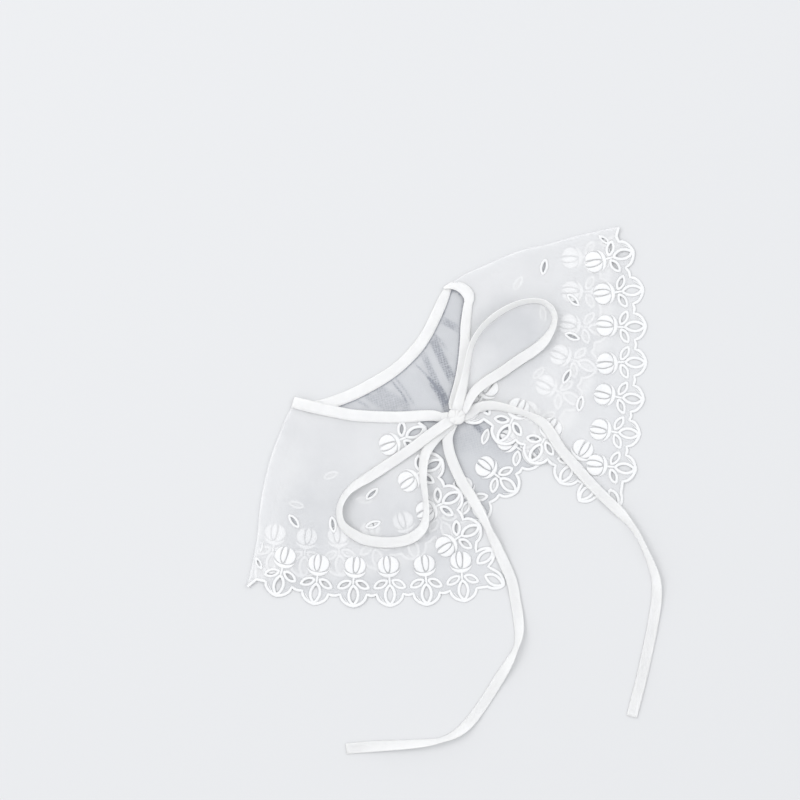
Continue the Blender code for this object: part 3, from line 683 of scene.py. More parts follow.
class Panels:
    """Outlines, leaves, motifs and heights of the three panels of the cape."""

    def __init__(self):
        left, back, right = (sections(rows) for rows in (BINDING_LEFT, BINDING_BACK, BINDING_RIGHT))
        neck_left = beside(left[:, 2:], 1)
        neck_back = beside(back[:, 2:], 1)
        neck_right = beside(right[:, 2:], -1)
        neck_left[0], neck_right[0] = beyond(left[0]), beyond(right[0])
        self.fold_left = smooth([neck_left[0], *FOLD_LEFT], STEP)
        self.fold_right = smooth([neck_right[0], *FOLD_RIGHT], STEP)
        hem_left = stations(HEM_LEFT, MOTIFS["hem_left"])
        edge_left = stations(EDGE_LEFT, MOTIFS["edge_left"])
        edge_right = stations(EDGE_RIGHT, MOTIFS["edge_right"])
        hem_right = stations(HEM_RIGHT, MOTIFS["hem_right"])
        hem_back = joints_at(HEM_BACK_FIRST)[:-1] + stations(HEM_BACK, MOTIFS["hem_back"])
        leaves_left, leaves_right = single_leaves(CORNER_LEFT), single_leaves(CORNER_RIGHT)
        tips = [joint + TIP * outwards for joint, outwards in hem_back]
        reach = np.array([self.fold_left[-1], *tips, self.fold_right[-1]])

        edge = [np.array(CUSP_LEFT), *scalloped(hem_left)]
        for motif in leaves_left:
            edge += leaf_lobe(motif)
        edge += scalloped(edge_left[:-1])
        edge += motif_lobe(edge_left[-1], last=0)
        neck = [p for p in neck_left[:0:-1] if p[0] < edge[-1][0] - 1]
        self.left = {
            "fold": self.fold_left,
            "edge": np.array([self.fold_left[-1], *edge, neck[0]]),
            "outline": np.array([*self.fold_left, *edge, *neck]),
            "motifs": hem_left + edge_left,
            "lone": leaves_left,
            "field": FIELD_LEFT,
            "part": FOLD_LEAF_LEFT,
            "reach": reach,
        }

        neck = [p for p in neck_right[1:] if p[1] > -1.0]
        edge = motif_lobe(edge_right[0], first=-30)
        edge += scalloped(edge_right[1:])
        for motif in leaves_right:
            edge += leaf_lobe(motif)
        edge += scalloped(hem_right)
        edge.append(np.array(CUSP_RIGHT))
        self.right = {
            "fold": self.fold_right,
            "edge": np.array([*edge, self.fold_right[-1]]),
            "outline": np.array([*neck, *edge, *self.fold_right[::-1]]),
            "motifs": edge_right + hem_right,
            "lone": leaves_right,
            "field": FIELD_RIGHT,
            "part": FOLD_LEAF_RIGHT,
            "reach": reach,
        }

        edge = [np.array(CUSP_LEFT), *scalloped(hem_back), np.array(CUSP_RIGHT)]
        self.back = {
            "edge": np.array([self.fold_left[-1], *edge, self.fold_right[-1]]),
            "outline": np.array([*self.fold_left, *edge, *self.fold_right[::-1], *neck_back[-2:0:-1]]),
            "motifs": hem_back,
            "lone": [],
            "field": FIELD_BACK,
            "part": (),
            "reach": None,
        }

        laid_on = [smooth(rows, 6)[:, :2] for rows in (LOOP_LEFT, LOOP_RIGHT, TAIL_LEFT, TAIL_RIGHT)]
        bound = [left[:, 2:], right[:, 2:]]
        folds = [self.fold_left, self.fold_right]
        front_swells = Swells(0.4, laid_on + bound + folds, [])
        under = [self.left["outline"], self.right["outline"]]
        back_swells = Swells(2.1, laid_on + [left[:, 2:], back[:, 2:], right[:, 2:]], under)
        self.left["height"] = lambda p: front_height(p, reach, self.fold_left) + front_swells(p)
        self.right["height"] = lambda p: front_height(p, reach, self.fold_right) + front_swells(p)
        self.back["height"] = lambda p: BACK_HEIGHT + back_folds(p) + back_swells(p)

    def leaves(self, panel):
        found = [leaf for motif in panel["motifs"] for leaf in motif_leaves(motif)]
        found += [lone_leaf(motif) for motif in panel["lone"]]
        found += [(np.array([x, y]), direction(turn), FOLD_LEAF) for x, y, turn in panel["part"]]
        return found + field_leaves(panel["field"])


# Mesh helpers


def new_object(name, vertices, faces, material, attributes=None, smooth_shading=True):
    mesh = bpy.data.meshes.new(name)
    mesh.from_pydata([tuple(v) for v in vertices], [], [tuple(int(i) for i in f) for f in faces])
    mesh.update()
    for key, values in (attributes or {}).items():
        layer = mesh.attributes.new(key, "FLOAT", "POINT")
        layer.data.foreach_set("value", np.array(values, np.float32))
    mesh.materials.append(material)
    if smooth_shading:
        mesh.shade_smooth()
    thing = bpy.data.objects.new(name, mesh)
    bpy.context.scene.collection.objects.link(thing)
    return thing


def grid_points(low, high, step):
    rows = []
    for number, y in enumerate(np.arange(low[1], high[1], step * math.sqrt(3) / 2)):
        xs = np.arange(low[0] + (number % 2) * step / 2, high[0], step)
        rows.append(np.column_stack([xs, np.full(len(xs), y)]))
    return np.vstack(rows)


def triangulate(panel, holes):
    """Points and triangles of a panel in plan, with its holes open."""
    outline = panel["outline"]
    points = [Vector(p) for p in outline]
    edges = [(i, (i + 1) % len(outline)) for i in range(len(outline))]
    rings = [np.vstack([outline, outline[:1]])]
    for hole in holes:
        first = len(points)
        points += [Vector(p) for p in hole]
        edges += [(first + i, first + (i + 1) % len(hole)) for i in range(len(hole))]
        rings.append(np.vstack([hole, hole[:1]]))
    low, high = outline.min(axis=0), outline.max(axis=0)
    grid = grid_points(low, high, GRID)
    if panel["reach"] is None:
        box = np.array(FINE_BOX)
        in_box = ((grid > box[:2]) & (grid < box[2:])).all(axis=1)
        grid = np.vstack([grid[~in_box], grid_points(box[:2] + 0.3, box[2:] - 0.3, FINE_GRID)])
    grid = grid[inside(grid, outline)]
    parts = np.array_split(grid, 1 + len(grid) // 4000)
    grid = np.vstack([part[np.abs(offset_from(part, rings[0])) > EDGE_CLEAR] for part in parts])
    for ring in rings[1:]:
        near = np.linalg.norm(grid - ring.mean(axis=0), axis=1) < OUTER_LEAF["hole"][0]
        if near.any():
            close = np.zeros(len(grid), bool)
            close[near] = (np.abs(offset_from(grid[near], ring)) < HOLE_CLEAR) | inside(grid[near], ring)
            grid = grid[~close]
    points += [Vector(p) for p in grid]
    found, _, faces, _, _, _ = delaunay_2d_cdt(points, edges, [], 1, 0.01)
    found = np.array([tuple(p) for p in found])
    faces = np.array([tuple(face) for face in faces])
    middles = found[faces].mean(axis=1)
    keep = np.ones(len(faces), bool)
    for ring in rings[1:]:
        near = np.where(np.linalg.norm(middles - ring.mean(axis=0), axis=1) < OUTER_LEAF["hole"][0])[0]
        keep[near[inside(middles[near], ring[:-1])]] = False
    return found, faces[keep]


def roll(line, side):
    """Points and quads of the half-round shoulder fold between a front and the back."""
    normals = side * right_of(line)
    angles = np.radians(np.linspace(90, -90, 9))
    rows = []
    for angle in angles:
        plan_points = line + normals * ROLL_RADIUS * math.cos(angle)
        height = BACK_HEIGHT + ROLL_RADIUS * (1 + math.sin(angle))
        rows.append(np.column_stack([plan_points, np.full(len(line), height)]))
    count = len(line)
    faces = []
    for row in range(len(angles) - 1):
        for i in range(count - 1):
            a, b = row * count + i, (row + 1) * count + i
            faces.append((a, b, b + 1, a + 1) if side > 0 else (a, a + 1, b + 1, b))
    return np.vstack(rows), faces


class Stitches:
    """Collects satin-stitched strips: domed bands between two lines, laid on a panel."""

    ACROSS = (0.0, 0.14, 0.36, 0.64, 0.86, 1.0)

    def __init__(self, height_of):
        self.height_of = height_of
        self.points, self.rises, self.runs, self.faces = [], [], [], []
        self.start = 0

    def strip(self, left, right, height, closed=False, taper=0.0):
        left, right = np.array(left), np.array(right)
        if closed:
            left, right = np.vstack([left, left[:1]]), np.vstack([right, right[:1]])
        along = lengths_along((left + right) / 2)
        total = along[-1]
        first = sum(map(len, self.points))
        row = len(self.ACROSS) + 1
        for a, b, run in zip(left, right, along):
            width = np.linalg.norm(b - a)
            low = 1.0
            if taper:
                low = min(1.0, 0.3 + run / taper, 0.3 + (total - run) / taper)
            dome = min(height, 0.26 + 0.26 * width) * low
            rises = [dome * math.sqrt(max(0.0, 1 - (2 * s - 1) ** 2)) ** 0.8 for s in self.ACROSS]
            self.points.append(np.array([a + (b - a) * s for s in self.ACROSS] + [(a + b) / 2]))
            self.rises.append(np.array([*rises, -UNDERSIDE]))
            self.runs.append(np.full(row, self.start + run))
        for i in range(len(left) - 1):
            for j in range(row):
                a, b = first + i * row + j, first + i * row + (j + 1) % row
                self.faces.append((a, b, b + row, a + row))
        self.start += total + 7.3

    def blade(self, start, end, one, other, roundness, height, frame, cuts=14):
        """A petal or crescent between two points, with the bulge of each side, in a motif's own axes."""
        joint, along, inwards = frame
        start = joint + along * start[0] + inwards * start[1]
        end = joint + along * end[0] + inwards * end[1]
        run = end - start
        way = run / np.linalg.norm(run)
        flip = along[0] * inwards[1] - along[1] * inwards[0]
        across = np.array([-way[1], way[0]]) * np.sign(flip)
        turns = np.linspace(0, math.pi, cuts + 1)
        sides = []
        for bulge in (one, other):
            sides.append([start + run * (1 - math.cos(t)) / 2 + across * bulge * math.sin(t) ** (2 * roundness) for t in turns])
        self.strip(sides[0], sides[1], height, taper=1.6)

    def build(self, name, material):
        points = np.vstack(self.points)
        heights = self.height_of(points) + np.concatenate(self.rises)
        vertices = [plan(x, y, z) for (x, y), z in zip(points, heights)]
        runs = np.concatenate(self.runs)
        return new_object(name, vertices, self.faces, material, {"run": runs})


def embroider(panels, panel, name, material):
    """All the satin stitch on one panel: edge, leaves, arcs and rosebuds."""
    rng = random.Random(name)
    stitches = Stitches(panel["height"])
    for centre, way, sizes in panels.leaves(panel):
        cuts = sizes["cuts"]
        inner = leaf_ring(centre, way, sizes["hole"], cuts, 0.9, LEAF_LEAN)
        outer = leaf_ring(centre, way, sizes["outline"], cuts, 0.66, LEAF_LEAN * 0.5)
        stitches.strip(inner, outer, LEAF_HEIGHT, closed=True)
    for motif in panel["motifs"]:
        joint, outwards = motif
        hand = rng.choice((-1, 1))
        turn = math.radians(rng.uniform(-7, 7))
        along = np.array([-outwards[1], outwards[0]]) * hand
        inwards = -outwards
        along, inwards = (
            along * math.cos(turn) + inwards * math.sin(turn),
            inwards * math.cos(turn) - along * math.sin(turn),
        )
        frame_of_bud = (joint, along, inwards)
        for start, end, one, other, roundness, height in BUD_PETALS:
            stitches.blade(start, end, one, other, roundness, height, frame_of_bud)
        start, end, one, other, roundness, height = STEM
        stitches.blade(start, end, one, other, roundness, height, frame_of_bud, 6)
        start, end, one, other, roundness, height = INNER_ARC
        shoulder = math.copysign(1.0, joint[0])
        frame_of_arc = (joint, shoulder * np.array([-outwards[1], outwards[0]]), outwards)
        stitches.blade(start, end, one, other, roundness, height, frame_of_arc)
    if panel is panels.left:
        start, end, one, other, roundness, height = FOLD_ARC
        stitches.blade(start, end, one, other, roundness, height, (np.zeros(2), np.eye(2)[0], np.eye(2)[1]))
    edge = panel["edge"]
    fine = [edge[0]]
    for a, b in zip(edge, edge[1:]):
        pieces = max(1, round(np.linalg.norm(b - a) / 2.5))
        fine += [a + (b - a) * (i + 1) / pieces for i in range(pieces)]
    fine = np.array(fine)
    out = right_of(fine)
    stitches.strip(fine - out * EDGE_WIDTH, fine + out * EDGE_OVERHANG, EDGE_HEIGHT)
    return stitches.build(name, material)


# Materials


def shader_of(name, colour, roughness):
    material = bpy.data.materials.new(name)
    material.use_nodes = True
    nodes = material.node_tree.nodes
    shader = nodes["Principled BSDF"]
    shader.inputs["Base Color"].default_value = (*colour, 1)
    shader.inputs["Roughness"].default_value = roughness
    return material, shader


def add(material, kind, **settings):
    node = material.node_tree.nodes.new(kind)
    for key, value in settings.items():
        setattr(node, key, value)
    return node


def connect(material, source, target):
    material.node_tree.links.new(source, target)


def math_node(material, operation, *values):
    """A Math node whose inputs are sockets or numbers."""
    node = add(material, "ShaderNodeMath", operation=operation)
    for socket, value in zip(node.inputs, values):
        if isinstance(value, (int, float)):
            socket.default_value = value
        else:
            connect(material, value, socket)
    return node.outputs[0]


def colour_ramp(material, factor, *stops):
    ramp = add(material, "ShaderNodeValToRGB")
    elements = ramp.color_ramp.elements
    for element, (position, colour) in zip(elements, stops):
        element.position = position
        element.color = (*colour, 1)
    for position, colour in stops[2:]:
        element = elements.new(position)
        element.color = (*colour, 1)
    connect(material, factor, ramp.inputs[0])
    return ramp.outputs[0]


def object_coordinates(material):
    return add(material, "ShaderNodeTexCoord").outputs["Object"]


def noise(material, scale, detail=2.0, vector=None):
    node = add(material, "ShaderNodeTexNoise")
    node.inputs["Scale"].default_value = scale
    node.inputs["Detail"].default_value = detail
    connect(material, vector or object_coordinates(material), node.inputs["Vector"])
    return node.outputs["Fac"]


def threads(material, pitch, turn):
    """Fine threads one pitch apart, in metres, running at a turn in plan."""
    mapping = add(material, "ShaderNodeMapping")
    mapping.inputs["Rotation"].default_value = (0, 0, math.radians(turn))
    connect(material, object_coordinates(material), mapping.inputs["Vector"])
    wave = add(material, "ShaderNodeTexWave", wave_type="BANDS", bands_direction="X")
    wave.inputs["Scale"].default_value = 2 * math.pi / pitch / 20
    wave.inputs["Distortion"].default_value = 0.6
    wave.inputs["Detail"].default_value = 1.0
    wave.inputs["Detail Scale"].default_value = 1.0
    connect(material, mapping.outputs[0], wave.inputs["Vector"])
    return wave.outputs["Fac"]


def bump(material, shader, height, strength, distance):
    node = add(material, "ShaderNodeBump")
    node.inputs["Strength"].default_value = strength
    node.inputs["Distance"].default_value = distance
    connect(material, height, node.inputs["Height"])
    connect(material, node.outputs[0], shader.inputs["Normal"])


def organza_material():
    """Sheer crisp cloth: see-through between its threads, and closer where it is lined, with painted light making
    it whiter there and painted shade in the back's creases.
    """
    material, shader = shader_of("organza", (0.8, 0.82, 0.86), 0.5)
    shader.inputs["Sheen Weight"].default_value = 0.15
    shader.inputs["Sheen Roughness"].default_value = 0.4
    shader.inputs["Specular IOR Level"].default_value = 0.3
    weave = math_node(material, "MULTIPLY", threads(material, 0.0007, 20), threads(material, 0.0007, 110))
    cloud = math_node(material, "SUBTRACT", noise(material, 17.0, 4.0), 0.5)
    closeness_and_painted_light = add(material, "ShaderNodeAttribute", attribute_name="closeness_and_painted_light").outputs["Fac"]
    painted_shade = add(material, "ShaderNodeAttribute", attribute_name="painted_shade").outputs["Fac"]
    # Painted light: the colour turns whiter with closeness, towards ORGANZA_LINED, where layers lie under the
    # cloth
    tone = math_node(material, "ADD", closeness_and_painted_light, math_node(material, "MULTIPLY", cloud, 0.6))
    # Painted shade: in the creases of the back the colour darkens towards the painted shade colour, with a mottle
    # of doubled threads
    double_weave = math_node(material, "MULTIPLY", threads(material, 0.0023, 33), threads(material, 0.0021, 118))
    mottle = math_node(material, "MULTIPLY_ADD", double_weave, 0.5, 0.0)
    mottle = math_node(material, "MULTIPLY_ADD", noise(material, 480.0, 4.0), 1.6, mottle)
    dark = math_node(material, "MULTIPLY", math_node(material, "MULTIPLY", painted_shade, mottle), 1.7)
    tone = math_node(material, "SUBTRACT", tone, dark)
    tone = math_node(material, "MULTIPLY_ADD", tone, 0.5, 0.5)
    colour = colour_ramp(
        material,
        tone,
        (0.0, ORGANZA_PAINTED_SHADE),
        (1.0, ORGANZA_LINED),
        (0.5, ORGANZA_SINGLE),
    )
    connect(material, colour, shader.inputs["Base Color"])
    alpha = math_node(material, "MULTIPLY_ADD", closeness_and_painted_light, 0.12, 0.39)
    alpha = math_node(material, "ADD", alpha, math_node(material, "MULTIPLY", cloud, 0.12))
    # The doubled cloth of a crease is less see-through
    alpha = math_node(material, "ADD", alpha, math_node(material, "MULTIPLY", painted_shade, 0.3))
    alpha = math_node(material, "ADD", alpha, math_node(material, "MULTIPLY", weave, 0.12))
    connect(material, alpha, shader.inputs["Alpha"])
    bump(material, shader, weave, 0.2, 0.0001)
    return material


def thread_material():
    """Rayon thread in satin stitch: glossy lines side by side across each strip."""
    material, shader = shader_of("embroidery_thread", (0.88, 0.885, 0.89), 0.42)
    shader.inputs["Sheen Weight"].default_value = 0.2
    shader.inputs["Specular IOR Level"].default_value = 0.45
    run = add(material, "ShaderNodeAttribute", attribute_name="run").outputs["Fac"]
    wave = math_node(material, "SINE", math_node(material, "MULTIPLY", run, 2 * math.pi / STITCH_PITCH))
    patch = noise(material, 700.0, 1.0)
    colour = colour_ramp(material, patch, (0.3, (0.85, 0.855, 0.86)), (0.7, (0.90, 0.90, 0.90)))
    connect(material, colour, shader.inputs["Base Color"])
    bump(material, shader, wave, 0.35, 0.0001)
    return material


def ribbon_material(name, colour, depth=0.6):
    """Soft woven ribbon with fine crosswise ribs."""
    material, shader = shader_of(name, colour, 0.55)
    shader.inputs["Sheen Weight"].default_value = 0.3
    shader.inputs["Sheen Roughness"].default_value = 0.5
    shader.inputs["Subsurface Weight"].default_value = depth
    shader.inputs["Subsurface Scale"].default_value = 0.002
    shader.inputs["Subsurface Radius"].default_value = (1.0, 1.0, 0.95)
    run = add(material, "ShaderNodeAttribute", attribute_name="run").outputs["Fac"]
    across = add(material, "ShaderNodeAttribute", attribute_name="across").outputs["Fac"]
    ribs = math_node(material, "SINE", math_node(material, "MULTIPLY", run, 2 * math.pi / 0.45))
    warp = math_node(material, "SINE", math_node(material, "MULTIPLY", across, 2 * math.pi / 0.4))
    weave = math_node(material, "MULTIPLY", ribs, warp)
    cloud = noise(material, 60.0, 3.0)
    dark = tuple(channel * 0.955 for channel in colour)
    connect(material, colour_ramp(material, cloud, (0.35, dark), (0.65, colour)), shader.inputs["Base Color"])
    bump(material, shader, weave, 0.25, 0.0001)
    return material


# The pieces


def make_cape(panels, material):
    vertices, faces, closeness_and_painted_light, painted_shades = [], [], [], []
    for panel, faces_up in ((panels.back, False), (panels.left, True), (panels.right, True)):
        holes = [hole_of(leaf) for leaf in panels.leaves(panel)]
        found, triangles = triangulate(panel, holes)
        heights = panel["height"](found)
        first = len(vertices)
        vertices += [plan(x, y, z) for (x, y), z in zip(found, heights)]
        order = triangles if faces_up else triangles[:, ::-1]
        faces += [tuple(first + corner for corner in face) for face in order]
        if panel["reach"] is None:
            closeness_and_painted_light += [0.0] * len(found)
            # Painted shade on the back: darker in its creases, and a painted shadow beside the binding
            painted_shades += list(painted_shade_of(found))
        else:
            # The fronts are closer where lined by the back, by the shoulder folds and near the neck, and whiter
            # there with painted light; inside the right loop less so
            past = offset_from(found, panel["reach"])
            lined = 1 - ease((past + 6) / 12)
            folded = 1 - ease(np.abs(offset_from(found, panel["fold"])) / 45)
            near_neck = 1 - ease((np.linalg.norm(found - NECK_MIDDLE, axis=1) - 55) / 65)
            close = 0.5 + 0.3 * lined + 0.22 * folded + 0.28 * near_neck
            if panel is panels.right:
                from_loop = np.linalg.norm(found - THINNER_PLACE, axis=1)
                close = close + 0.2 - 0.42 * (1 - ease((from_loop - 20) / 36))
            closeness_and_painted_light += list(np.minimum(close, 1.1))
            painted_shades += [0.0] * len(found)
    for line, side in ((panels.fold_left, 1), (panels.fold_right, -1)):
        found, quads = roll(line, side)
        first = len(vertices)
        vertices += [plan(*p) for p in found]
        faces += [tuple(first + corner for corner in quad) for quad in quads]
        closeness_and_painted_light += [1.0] * len(found)
        painted_shades += [0.0] * len(found)
    cape = new_object("cape", vertices, faces, material, {"closeness_and_painted_light": closeness_and_painted_light, "painted_shade": painted_shades})
    builder = bmesh.new()
    builder.from_mesh(cape.data)
    bmesh.ops.remove_doubles(builder, verts=builder.verts, dist=0.00002)
    builder.to_mesh(cape.data)
    builder.free()
    return cape


def band(name, rows, wall, material, crown=0.18, wave=0.0, seed=1):
    """A ribbon through rows of its two edges, in three dimensions, with a soft crown across it."""
    rng = random.Random(seed)
    phase = rng.uniform(0, 6)
    middles = np.array([(np.array(a) + np.array(b)) / 2 for a, b in rows])
    along = np.concatenate([[0], np.cumsum(np.linalg.norm(np.diff(middles, axis=0), axis=1))])
    ways = np.gradient(middles, axis=0)
    vertices, runs, sides = [], [], []
    for (a, b), run, way in zip(rows, along, ways):
        a, b = np.array(a), np.array(b)
        across = b - a
        width = np.linalg.norm(across)
        up = np.cross(across, way)
        up /= np.linalg.norm(up) + 1e-9
        if up[2] < 0:
            up = -up
        for s in np.linspace(0, 1, RIBBON_ACROSS + 1):
            lift = crown * (1 - (2 * s - 1) ** 2) + wave * math.sin(run / 13 + phase) * (2 * s - 1)
            point = a + across * s + up * lift
            vertices.append(plan(*point))
            runs.append(run)
            sides.append(width * s)
    faces = []
    row = RIBBON_ACROSS + 1
    for i in range(len(rows) - 1):
        for j in range(RIBBON_ACROSS):
            a = i * row + j
            faces.append((a, a + 1, a + row + 1, a + row))
    thing = new_object(name, vertices, faces, material, {"run": runs, "across": sides})
    solid = thing.modifiers.new("wall", "SOLIDIFY")
    solid.thickness = wall * MM
    solid.offset = 0
    return thing


def into_knot(row):
    """The next row of a ribbon, inside the knot."""
    way = np.array(KNOT_CENTRE) - row[:2]
    x, y = row[:2] + way / np.linalg.norm(way) * min(INTO_KNOT, np.linalg.norm(way) * 0.7)
    return (x, y, (row[2] + KNOT_BOTTOM + KNOT_HALF[2] * 0.6) / 2, 0)


def ribbon(name, rows, knotted_ends, material, seed):
    """One stretch of the tie, run on into the knot, and the middle line that it follows, in metres."""
    rows = [into_knot(rows[0]), *rows]
    if knotted_ends == 2:
        rows.append(into_knot(rows[-1]))
    path = smooth(rows, RIBBON_STEP)
    along = lengths_along(path)
    ways = np.gradient(path[:, :2], axis=0)
    ways /= np.linalg.norm(ways, axis=1)[:, None]
    edges, middle_line = [], []
    for (x, y, low, tilt), way, run in zip(path, ways, along):
        from_knot = min([run, along[-1] - run][:knotted_ends])
        half = RIBBON_WIDTH / 2 * (1 - PINCH * math.exp(-((from_knot / PINCH_LENGTH) ** 2)))
        turn = math.radians(tilt)
        side = np.array([way[1], -way[0]]) * half * math.cos(turn)
        rise = half * math.sin(turn)
        middle = low + abs(rise) + RIBBON / 2 * math.cos(turn)
        edges.append(((x - side[0], y - side[1], middle + rise), (x + side[0], y + side[1], middle - rise)))
        middle_line.append(plan(x, y, middle))
    return band(name, edges, RIBBON_WALL, material, 0.12, 0.05, seed), middle_line


def binding_rows():
    left, back, right = (smooth(rows, BINDING_STEP) for rows in (BINDING_LEFT, BINDING_BACK, BINDING_RIGHT))

    def level(part):
        rows = []
        for section, run in zip(part, lengths_along(part)):
            settle = ease((run - BINDING_LEVEL) / (BINDING_SETTLE - BINDING_LEVEL))
            height = BINDING_FOLD_HEIGHT + (BINDING_FRONT_HEIGHT - BINDING_FOLD_HEIGHT) * settle
            rows.append(((*section[:2], height), (*section[2:], height)))
        return rows

    def turned(section, side):
        neck, edge = section[:2], section[2:]
        way = (edge - neck) / np.linalg.norm(edge - neck)
        normal = side * np.array([way[1], -way[0]])
        rows = []
        for angle in np.radians((60, 30, 0, -30, -60)):
            bulge = normal * ROLL_RADIUS * math.cos(angle)
            height = BINDING_BACK_HEIGHT + ROLL_RADIUS * (1 + math.sin(angle))
            rows.append(((*(neck + bulge), height), (*(edge + bulge), height)))
        return rows

    def into(row):
        """A section narrowed and moved into the knot."""
        middle = (np.array(row[0][:2]) + np.array(row[1][:2])) / 2
        way = np.array(KNOT_CENTRE) - middle
        middle = middle + way / np.linalg.norm(way) * INTO_KNOT
        half = (np.array(row[0][:2]) - np.array(row[1][:2])) / 2 * INTO_KNOT_WIDTH
        return ((*(middle + half), INTO_KNOT_HEIGHT), (*(middle - half), INTO_KNOT_HEIGHT))

    rows = [into(level(left)[-1])] + level(left)[::-1] + turned(left[0], 1)
    rows += [((*s[:2], BINDING_BACK_HEIGHT), (*s[2:], BINDING_BACK_HEIGHT)) for s in back]
    rows += turned(right[0], -1)[::-1] + level(right) + [into(level(right)[-1])]
    return rows


def stitch_row(name, rows, place, material):
    """Machine stitches along a band, at one share of the way across it."""
    length, gap, width, height = BINDING_STITCH
    line = np.array([np.array(a) + (np.array(b) - np.array(a)) * place for a, b in rows])
    along = np.concatenate([[0], np.cumsum(np.linalg.norm(np.diff(line, axis=0), axis=1))])
    vertices, faces = [], []
    for start in np.arange(gap, along[-1] - length, length + gap):
        first, middle, last = (
            np.array([np.interp(start + share * length, along, line[:, axis]) for axis in range(3)])
            for share in (0, 0.5, 1)
        )
        way = (last - first) / (np.linalg.norm(last - first) + 1e-9)
        side = np.array([way[1], -way[0], 0]) * width / 2
        up = np.array([0, 0, BINDING / 2 - 0.05])
        rise = np.array([0, 0, height])
        corner = len(vertices)
        ring = (middle + side + up, middle + rise + up, middle - side + up, middle - rise + up)
        vertices += [plan(*p) for p in (first + up, *ring, last + up)]
        for i in range(4):
            a, b = corner + 1 + i, corner + 1 + (i + 1) % 4
            faces += [(corner, a, b), (corner + 5, b, a)]
    return new_object(name, vertices, faces, material)


def make_knot(material):
    """The knot: the tie wrapped once round the crossing, with soft creases into its corners."""
    builder = bmesh.new()
    bmesh.ops.create_cube(builder, size=2)
    bmesh.ops.subdivide_edges(builder, edges=builder.edges, cuts=31, use_grid_fill=True)
    turn = math.radians(KNOT_TURN)
    points = np.array([tuple(vert.co) for vert in builder.verts])
    points /= np.linalg.norm(points, axis=1)[:, None]
    forms = np.sign(points) * np.abs(points) ** KNOT_SQUARENESS
    dents = np.zeros(len(points))
    for start, end, half_width, depth in KNOT_CREASES:
        line = np.array([start, end])
        away = offset_from(forms[:, :2], line) / half_width
        first = np.linalg.norm(forms[:, :2] - line[0], axis=1)
        dents = np.maximum(dents, depth * np.exp(-(away**2)) * ease(0.15 + first / 0.4))
    forms *= np.array(KNOT_HALF) * 0.98
    forms[:, 2] -= dents * np.clip(2 * points[:, 2], 0, 1)
    for vert, shaped in zip(builder.verts, forms):
        x = KNOT_CENTRE[0] + shaped[0] * math.cos(turn) - shaped[1] * math.sin(turn)
        y = KNOT_CENTRE[1] + shaped[0] * math.sin(turn) + shaped[1] * math.cos(turn)
        vert.co = plan(x, y, KNOT_BOTTOM + KNOT_HALF[2] + shaped[2])
    mesh = bpy.data.meshes.new("knot")
    builder.to_mesh(mesh)
    builder.free()
    mesh.materials.append(material)
    mesh.shade_smooth()
    thing = bpy.data.objects.new("knot", mesh)
    bpy.context.scene.collection.objects.link(thing)
    run = mesh.attributes.new("run", "FLOAT", "POINT")
    across = mesh.attributes.new("across", "FLOAT", "POINT")
    for vert in mesh.vertices:
        run.data[vert.index].value = (vert.co.x + vert.co.y) / MM * 0.7
        across.data[vert.index].value = (vert.co.x - vert.co.y) / MM * 0.7
    return thing


# Camera, floor and light


def make_camera():
    middle = Vector(plan(*PICTURE_MIDDLE, 0))
    data = bpy.data.cameras.new("camera")
    data.sensor_width = SENSOR
    data.lens = SENSOR * CAMERA_HEIGHT / (PICTURE_SIDE * MM_PER_PIXEL * MM)
    data.clip_start = 0.05
    camera = bpy.data.objects.new("camera", data)
    camera.matrix_world = Matrix.Translation(middle + Vector((0, 0, CAMERA_HEIGHT))) @ Matrix.Rotation(
        math.radians(-45), 4, "Z"
    )
    bpy.context.scene.collection.objects.link(camera)
    bpy.context.scene.camera = camera


def make_floor():
    material, shader = shader_of("floor", (0.725, 0.73, 0.737), 0.9)
    shader.inputs["Specular IOR Level"].default_value = 0.1
    half = 6.0
    corners = [(-half, -half, -0.0002), (half, -half, -0.0002), (half, half, -0.0002), (-half, half, -0.0002)]
    new_object("floor", corners, [(0, 1, 2, 3)], material, smooth_shading=False)


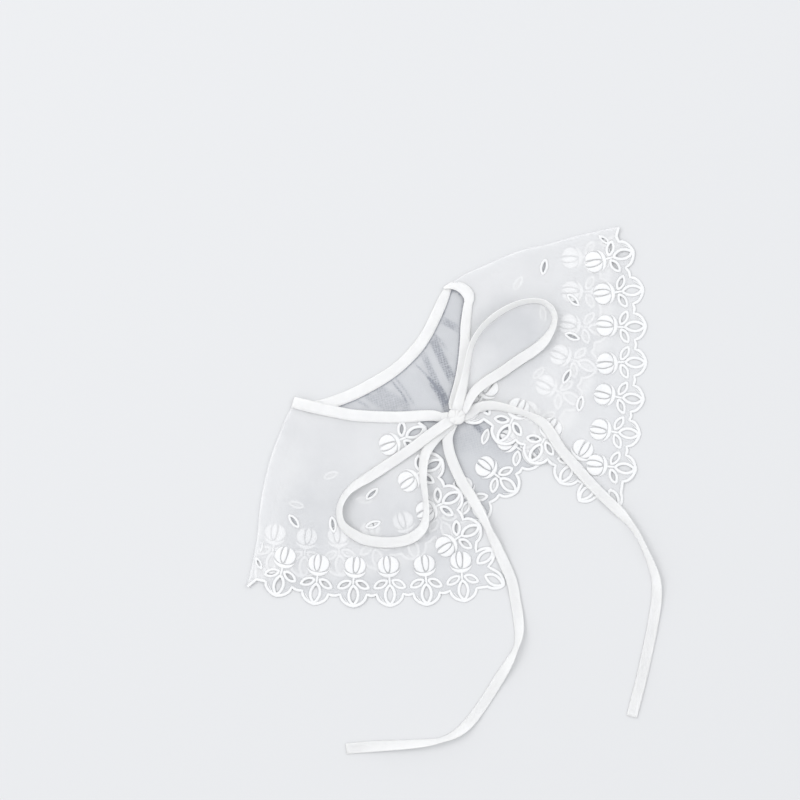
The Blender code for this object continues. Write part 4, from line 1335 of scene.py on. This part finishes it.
def area_light(name, place, size, power, colour=(1, 1, 1)):
    data = bpy.data.lights.new(name, "AREA")
    data.size = size
    data.energy = power
    data.color = colour
    light = bpy.data.objects.new(name, data)
    light.location = place
    light.rotation_mode = "QUATERNION"
    light.rotation_quaternion = (-Vector(place)).to_track_quat("-Z", "Y")
    bpy.context.scene.collection.objects.link(light)


def make_light():
    area_light("key", (-0.8, 2.4, 3.8), 2.8, 60)
    area_light("fill", (2.6, -0.8, 3.2), 3.0, 22, (0.97, 0.98, 1.0))
    world = bpy.data.worlds.new("studio")
    world.use_nodes = True
    background = world.node_tree.nodes["Background"]
    background.inputs["Color"].default_value = (0.97, 0.98, 1.0, 1)
    background.inputs["Strength"].default_value = 0.88
    bpy.context.scene.world = world
    bpy.context.scene.view_settings.view_transform = "Standard"


def finish_piece(piece, material_slot, *nodes):
    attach(piece, "root")
    if nodes:
        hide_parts(*nodes)


def main():
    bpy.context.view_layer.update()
    make_camera()
    tie = ribbon_material("tie_ribbon", (0.89, 0.89, 0.875))
    ties = (
        ("loop_left", "bow_loop_left", LOOP_LEFT, 2, "object"),
        ("loop_right", "bow_loop_right", LOOP_RIGHT, 2, "object"),
        ("tail_left", "tie_tail_left", TAIL_LEFT, 1, "bare"),
        ("tail_right", "tie_tail_right", TAIL_RIGHT, 1, "bare"),
    )
    for seed, (name, node, rows, knotted_ends, far_end) in enumerate(ties):
        piece, line = ribbon(name, rows, knotted_ends, tie, seed)
        finish_piece(piece, "tie_ribbon", node)

    panels = Panels()
    cape = make_cape(panels, organza_material())
    finish_piece(cape, "organza", "collar_cape")
    thread = thread_material()
    for name, panel in (("back", panels.back), ("left", panels.left), ("right", panels.right)):
        piece = embroider(panels, panel, "embroidery_" + name, thread)
        finish_piece(piece, "organza")

    rows = binding_rows()
    binding = band("binding", rows, 1.1, ribbon_material("binding_ribbon", (0.89, 0.89, 0.88)), 0.18, 0.05)
    finish_piece(binding, "binding_ribbon", "neck_binding")
    finish_piece(stitch_row("binding_stitches", rows[3:-3], BINDING_STITCH_PLACE, thread), "binding_ribbon")
    finish_piece(make_knot(ribbon_material("knot_ribbon", (0.82, 0.818, 0.808), 0.15)), "tie_ribbon", "bow_knot")

    make_floor()
    make_light()


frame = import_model()
main()
